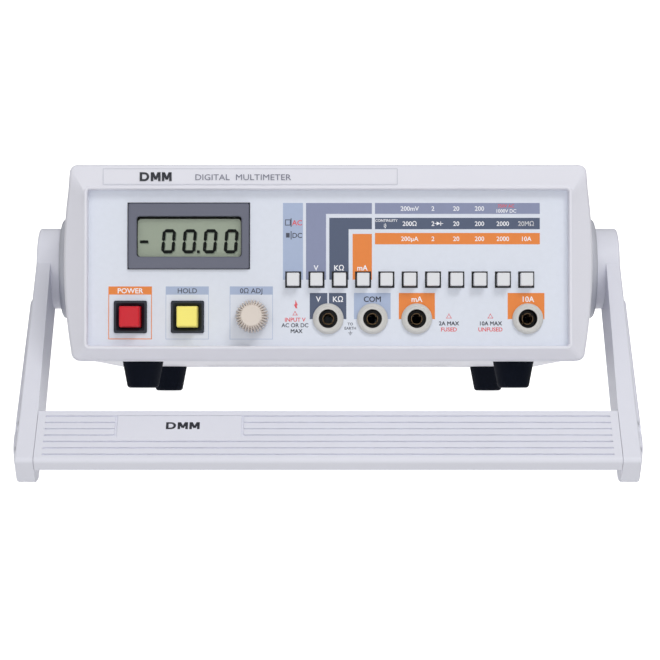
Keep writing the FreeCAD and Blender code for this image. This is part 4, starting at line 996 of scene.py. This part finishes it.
def jacks():
    """Four jacks: a stepped collar, a shrouded insert and a leaf contact slit into quarters."""
    collar = ((6.6, 0.0), (6.6, -1.0), (6.45, -1.35), (5.5, -2.05), (5.25, -2.15), (5.1, -2.0), (5.0, -1.95),
              (4.35, -1.98), (4.1, -1.9), (3.95, -1.6), (3.95, 0.0))
    insert = ((4.05, -1.75), (4.25, -1.75), (4.25, 2.0), (4.9, 2.0), (4.9, 12.0), (2.5, 12.0), (2.5, 10.0),
              (3.9, 10.0), (3.9, -1.6))
    sets = {"jack_collars": [], "jack_inserts": [], "jack_contacts": []}
    for x in JACKS.values():
        sets["jack_collars"].append(turned("collar", collar, (x, JACK_LEVEL)))
        sets["jack_inserts"].append(turned("insert", insert, (x, JACK_LEVEL)))
        sets["jack_contacts"].append(turned("root", ((2.5, 9.0), (2.5, 24.0), (2.0, 24.0), (2.0, 9.0)),
                                            (x, JACK_LEVEL), steps=40))
        shape = bmesh.new()
        sweep, stations = math.radians(76.0), 6
        rows = [[shape.verts.new((radius * math.sin(angle), depth, radius * math.cos(angle)))
                 for radius, depth in ((2.05, 1.25), (2.2, 1.0), (2.4, 1.0), (2.5, 1.2), (2.5, 9.2), (2.0, 9.2))]
                for angle in (sweep * (station / stations - 0.5) for station in range(stations + 1))]
        bridge(shape, rows)
        leaf = finished("leaf", shape, 35.0)
        sets["jack_contacts"].append(repeated("leaves", leaf, "contact", 4, turn=math.pi / 2,
                                              start=(x, 0.0, JACK_LEVEL)))
    for name, slot, finish in (("jack_collars", "jack_collar", "collar"),
                               ("jack_inserts", "jack_insert", "jack_black"),
                               ("jack_contacts", "plated_contact", "contact")):
        fit_out(joined(name + "_fine", sets[name]), "root", finish, (name,))


# ---------------------------------------------------------------- case, handle and back
BEZEL_FRONT, BEZEL_BACK = -4.5, 11.5
CASE_TOP = 84.0
OPENING = (103.1, 6.3, 73.5)          # half its width, its foot and its head
SIDE_STEPS, ALONG_STEPS = 24, 16


def corner_points(x, z, radius, first):
    """The five points of a rounded corner between its ends, from an angle."""
    return [(x + radius * math.cos(a), z + radius * math.sin(a))
            for a in (math.radians(first + 15.0 * step) for step in range(5))]


def whole_outline(side, low_round, top_round, foot, head):
    """An outline the same on both hands, from its right side: anticlockwise from the lower right."""
    foot_x, head_x = side[0][0] - low_round, side[-1][0] - top_round
    half = (corner_points(foot_x, foot + low_round, low_round, -75.0) + side
            + corner_points(head_x, head - top_round, top_round, 15.0))
    upper = [(head_x - 2 * head_x * step / ALONG_STEPS, head) for step in range(ALONG_STEPS + 1)]
    left = [(-x, z) for x, z in reversed(half)]
    under = [(-foot_x + 2 * foot_x * step / ALONG_STEPS, foot) for step in range(ALONG_STEPS + 1)]
    return half + upper + left + under


def bowed_outline(inset):
    """The bezel's outer line in X and Z, moved inwards by an inset; its sides bulge."""
    low, top, bulge = 109.6 - inset, 110.2 - inset, 3.7
    foot, head = inset, CASE_TOP - inset
    low_round, top_round = max(3.8 - inset, 0.8), max(3.5 - inset, 0.8)
    side = []
    for step in range(SIDE_STEPS + 1):
        z = foot + low_round + step / SIDE_STEPS * (head - top_round - foot - low_round)
        whole = (z - foot) / (head - foot)
        side.append((low + (top - low) * whole + bulge * 4 * whole * (1 - whole), z))
    return whole_outline(side, low_round, top_round, foot, head)


def opening_outline(grown):
    """The opening's line with the same number of points, so that the two can be bridged."""
    wide, foot, head = OPENING[0] + grown, OPENING[1] - grown, OPENING[2] + grown
    corner = 1.2 + max(grown, 0.0)
    rise = head - foot - 2 * corner
    side = [(wide, foot + corner + rise * step / SIDE_STEPS) for step in range(SIDE_STEPS + 1)]
    return whole_outline(side, corner, corner, foot, head)


def bezel():
    """The bezel: a lip round the opening, a flat top bar, and sides and a lower bar that fall back from the lip."""
    top_start = CASE_TOP - 11.0
    # which outline and how much, the depth along the top bar, the depth at the sides and foot
    stations = ((bowed_outline(0.0), BEZEL_BACK, BEZEL_BACK), (bowed_outline(0.0), -3.2, 0.9),
                (bowed_outline(0.25), -3.9, 0.1), (bowed_outline(0.8), -4.4, -0.6),
                (bowed_outline(1.2), -4.5, -0.95), (opening_outline(1.5), -4.5, -4.05),
                (opening_outline(1.15), -4.5, -4.4), (opening_outline(0.8), -4.5, -4.5),
                (opening_outline(0.3), -4.4, -4.4), (opening_outline(0.0), -4.1, -4.1),
                (opening_outline(-0.25), 0.0, 0.0), (opening_outline(3.6), 0.0, 0.0),
                (opening_outline(3.6), BEZEL_BACK, BEZEL_BACK))
    shape = bmesh.new()
    rows = []
    for outline, top_depth, side_depth in stations:
        row = []
        for x, z in outline:
            rise = min(1.0, max(0.0, (z - top_start) / (CASE_TOP - 3.0 - top_start)))
            rise = rise * rise * (3.0 - 2.0 * rise)
            row.append(shape.verts.new((x, side_depth + (top_depth - side_depth) * rise, z)))
        rows.append(row)
    bridge(shape, rows, ring=True)
    thing = finished("bezel_moulding", shape, 28.0)
    fit_out(thing, "root", "case", ("front_bezel",))


def casework():
    """The bezel, and finer copies of the covers, hubs, arms and feet."""
    bezel()
    for node in ("top_cover", "bottom_cover"):
        skin(node, "root", "case", 0.4, 2)
    for hand in ("left", "right"):
        # the hubs take the darkened moulding, a painted shade
        skin("handle_hub_" + hand, "root", "hub", 0.5, 2)
        skin("handle_arm_" + hand, "handle", "handle", 0.8, 3)
    screws()
    for end in ("front", "rear"):
        for hand in ("left", "right"):
            skin("foot_%s_%s" % (end, hand), "root", "rubber", 0.5, 2)


GRIP_Y = (-128.1, -99.4)
GRIP_Z = (4.8, 11.0)
GRIP_HALF = 124.35
RIB_PITCH, RIB_GROOVE, RIB_DEPTH = 3.65, 0.9, 0.8
GROOVES = 7
FIRST_GROOVE = -125.05
LABEL_X = (-90.0, -37.0)
LABEL_ROWS = 3


def bar(name, x, y, z, width=0.2):
    """A bevelled box."""
    shape = bmesh.new()
    bmesh.ops.create_cube(shape, size=1.0)
    thing = from_bmesh(name, shape)
    middle = [0.5 * sum(span) for span in (x, y, z)]
    size = [span[1] - span[0] for span in (x, y, z)]
    thing.data.transform(Matrix.Translation(middle) @ Matrix.Diagonal((*size, 1.0)))
    if width:
        round_edges(thing, width, 2)
    return thing


def screw(radius, rise, shank, length, recess, crossed):
    """A screw along Z, its head's base at the origin: a rounded head with a cross or a hexagon sunk in it."""
    steps = 96
    edge = 0.18 * radius

    def ring(size, sunk=None):
        points = []
        for index in range(steps):
            angle = 2 * math.pi * index / steps
            across, along = abs(math.cos(angle)), abs(math.sin(angle))
            reach = size
            if sunk == "cross":
                arm, half = size, 0.3 * size
                reach = max(min(arm / max(across, 1e-6), half / max(along, 1e-6)),
                            min(arm / max(along, 1e-6), half / max(across, 1e-6)))
            elif sunk == "hexagon":
                turn = (angle % (math.pi / 3)) - math.pi / 6
                reach = size * math.cos(math.pi / 6) / math.cos(turn)
            points.append((reach * math.cos(angle), reach * math.sin(angle)))
        return points

    sunk = "cross" if crossed else "hexagon"
    floor = rise - 0.55 * rise
    stations = [(-length, ring(0.8 * shank)), (-length + 0.4 * shank, ring(shank)), (0.0, ring(shank)),
                (0.0, ring(radius)), (rise - edge, ring(radius)), (rise - 0.35 * edge, ring(radius - 0.3 * edge)),
                (rise, ring(radius - edge)), (rise, ring(recess, sunk)), (floor, ring(0.9 * recess, sunk))]
    shape = bmesh.new()
    bridge(shape, [[shape.verts.new((x, y, height)) for x, y in points] for height, points in stations])
    return finished("screw", shape, 40.0)


# a screw's head: radius and rise; its shank: radius and length; the recess
CASE_SCREW = (3.5, 2.4, 1.8, 12.0, 2.0)
FOOT_SCREW = (3.1, 2.4, 1.7, 7.8, 1.8)
GRIP_SCREW = (2.75, 0.5, 1.5, 20.0, 1.7)
PIVOT_SCREW = (7.0, 3.0, 3.0, 15.0, 3.2)
PIVOT_SEAT, GRIP_SEAT = 129.2, 132.35     # how far out the heads' bases are
GRIP_SCREW_Y, GRIP_SCREW_Z = (-121.1, -106.4), 7.9


def screws():
    """Every screw that shows, set out in pairs."""
    downward = Matrix.Rotation(math.pi, 4, "X")
    # a screw's sizes, how far it is from the middle, the two depths, the level of its head's base
    sets = {"case_screws": (CASE_SCREW, 98.0, (40.0, 186.0), 7.2),
            "foot_screws": (FOOT_SCREW, 81.0, (22.0, 197.0), -0.9)}
    for name, (sizes, x, depths, base) in sets.items():
        pairs = []
        for depth in depths:
            unit = screw(*sizes, crossed=True)
            unit.data.transform(downward)
            pairs.append(repeated("pair", unit, "steel", 2, step=(2 * x, 0.0, 0.0), start=(-x, depth, base)))
        fit_out(joined(name + "_fine", pairs), "root", "steel", (name,))
    heads, pairs = [], []
    for side in (-1, 1):
        outward = Matrix.Rotation(side * math.pi / 2, 4, "Y")
        head = screw(*PIVOT_SCREW, crossed=False)
        head.data.transform(Matrix.Translation((side * PIVOT_SEAT, *PIVOT)) @ outward)
        heads.append(head)
        unit = screw(*GRIP_SCREW, crossed=True)
        unit.data.transform(outward)
        pairs.append(repeated("pair", unit, "bright_steel", 2, step=(0.0, GRIP_SCREW_Y[1] - GRIP_SCREW_Y[0], 0.0),
                              start=(side * GRIP_SEAT, GRIP_SCREW_Y[0], GRIP_SCREW_Z)))
    fit_out(joined("pivot_screws_fine", heads), "root", "steel", ("pivot_screws",))
    fit_out(joined("grip_screws_fine", pairs), "handle", "bright_steel", ("grip_screws",), place=ARM)


def rear_words():
    """Plain words over the fittings on the back."""
    back_face = 208.0
    place = LEVEL @ Matrix.Translation((0.0, back_face, 0.0)) @ Matrix.Rotation(math.pi, 4, "Z")
    words = [word(text, x, z, 2.6, bold=0.04, layer=1) for text, x, z in
             (("AC LINE", 68.0, 57.0), ("FUSE", 25.0, 53.0), ("115V", -9.5, 51.0), ("230V", -20.5, 51.0))]
    lettering("rear_words", "ink_dark", words, place=place)


def grip():
    """The grip: a trough, and ribs set out in it, cut short in three rows to make room for a smooth label."""
    floor = GRIP_Z[1] - RIB_DEPTH
    trough_x = (-GRIP_HALF + 3.5, GRIP_HALF - 3.5)
    trough_y = (FIRST_GROOVE, FIRST_GROOVE + (GROOVES - 1) * RIB_PITCH + RIB_GROOVE)
    shape = bmesh.new()
    outer = [(GRIP_Y[0], GRIP_Z[0]), (GRIP_Y[1], GRIP_Z[0]), (GRIP_Y[1], GRIP_Z[1] - 0.25),
             (GRIP_Y[1] - 0.25, GRIP_Z[1])]
    centre = (GRIP_Y[0] + 2.0, GRIP_Z[1] - 2.0)
    lip = [(centre[0] + 2.0 * math.cos(math.radians(a)), centre[1] + 2.0 * math.sin(math.radians(a)))
           for a in range(90, 181, 15)]

    def across(x, section):
        return [shape.verts.new((x, y, z)) for y, z in section]

    plain = outer + [(trough_y[1], GRIP_Z[1]), (trough_y[0], GRIP_Z[1])] + lip
    sunk = outer + [(trough_y[1], floor), (trough_y[0], floor)] + lip
    upper = len(outer)
    ends = [across(-GRIP_HALF, plain), across(trough_x[0], plain), across(trough_x[1], plain),
            across(GRIP_HALF, plain)]
    low = [{index: shape.verts.new((x, *sunk[index])) for index in (upper, upper + 1)} for x in trough_x]
    for near, far, open_top in ((0, 1, False), (1, 2, True), (2, 3, False)):
        for index in range(len(plain)):
            following = (index + 1) % len(plain)
            if open_top and index == upper:
                continue
            shape.faces.new((ends[near][index], ends[near][following], ends[far][following], ends[far][index]))
    left, right = low
    top, bottom = upper, upper + 1
    shape.faces.new((left[top], left[bottom], right[bottom], right[top]))
    shape.faces.new((ends[1][top], left[top], right[top], ends[2][top]))
    shape.faces.new((ends[1][bottom], left[bottom], right[bottom], ends[2][bottom]))
    shape.faces.new((ends[1][top], ends[1][bottom], left[bottom], left[top]))
    shape.faces.new((ends[2][top], ends[2][bottom], right[bottom], right[top]))
    shape.faces.new(ends[0])
    shape.faces.new(ends[3][::-1])
    bmesh.ops.recalc_face_normals(shape, faces=shape.faces)
    body = from_bmesh("grip_body", shape)
    round_edges(body, 0.15, 2)
    parts = [body]
    rib_y = (trough_y[0] + RIB_GROOVE, trough_y[0] + RIB_PITCH)
    z = (floor - 0.3, GRIP_Z[1])
    full = GROOVES - 1 - LABEL_ROWS
    runs = ((full, (trough_x[0] - 0.3, trough_x[1] + 0.3), 0),
            (LABEL_ROWS, (trough_x[0] - 0.3, LABEL_X[0] - 1.0), full),
            (LABEL_ROWS, (LABEL_X[1] + 1.0, trough_x[1] + 0.3), full))
    for count, x, first in runs:
        rib = bar("rib", x, rib_y, z)
        parts.append(repeated("ribs", rib, "handle", count, step=(0.0, RIB_PITCH, 0.0),
                              start=(0.0, first * RIB_PITCH, 0.0)))
    label_y = (trough_y[0] + full * RIB_PITCH - 0.9, trough_y[1] - 0.25)
    parts.append(bar("label", LABEL_X, label_y, (floor - 0.3, GRIP_Z[1] + 0.08), 0.15))
    fit_out(joined("grip", parts), "handle", "handle", ("handle_grip",), place=ARM)
    mark = mark_letters(-62.0, 0.0, 4.0, 5.0)
    mark.transform(Matrix.Rotation(math.radians(-90), 4, "X"))
    mark.transform(Matrix.Translation((0.0, 0.5 * sum(label_y) - 1.6, GRIP_Z[1] + 0.09)))
    lettering("grip_mark", "ink_mark", [mark], body="handle", place=ARM)


def back_of_the_case():
    """Finer copies of the rear panel and its fittings."""
    skin("rear_panel", "root", "rear", 0.15, 1)
    skin("mains_inlet", "root", "black_moulding", 0.35, 2)
    skin("inlet_pins", "root", "nickel", 0.2, 2)
    skin("fuse_holder", "root", "black_moulding", 0.3, 2)
    skin("fuse_holder_cap", "fuse_cap", "black_moulding", 0.3, 2)
    skin("voltage_selector", "root", "black_moulding", 0.2, 2)
    skin("voltage_selector_slider", "selector_slide", "red", 0.2, 2)


def inside():
    """The panel and what is behind it keep the CAD's shapes, in better finishes."""
    for node, finish in (("front_panel", "panel"), ("display_board", "board"), ("main_board", "board"),
                         ("board_standoffs", "nickel"), ("transformer", "laminations"), ("filter_capacitors", "sleeve"),
                         ("converter_chips", "black_moulding"), ("input_fuse", "fuse_glass"),
                         ("shunt_resistor", "alloy"), ("power_switch_body", "black_moulding"),
                         ("hold_switch_body", "black_moulding"), ("zero_adjust_pot", "black_moulding"),
                         ("zero_adjust_shaft", "steel"), ("key_switch_bank", "black_moulding"),
                         ("jack_nuts", "nickel")):
        keep(node, finish)


# ---------------------------------------------------------------- the whole meter
scene.view_settings.view_transform = "Standard"
camera_and_stage()
casework()
panel_print()
panel_words()
key_symbols()
rating_notes()
nameplate()
display_frame()
lcd()
display_window()
knob()
push_buttons()
key_liners()
jacks()
grip()
back_of_the_case()
rear_words()
inside()
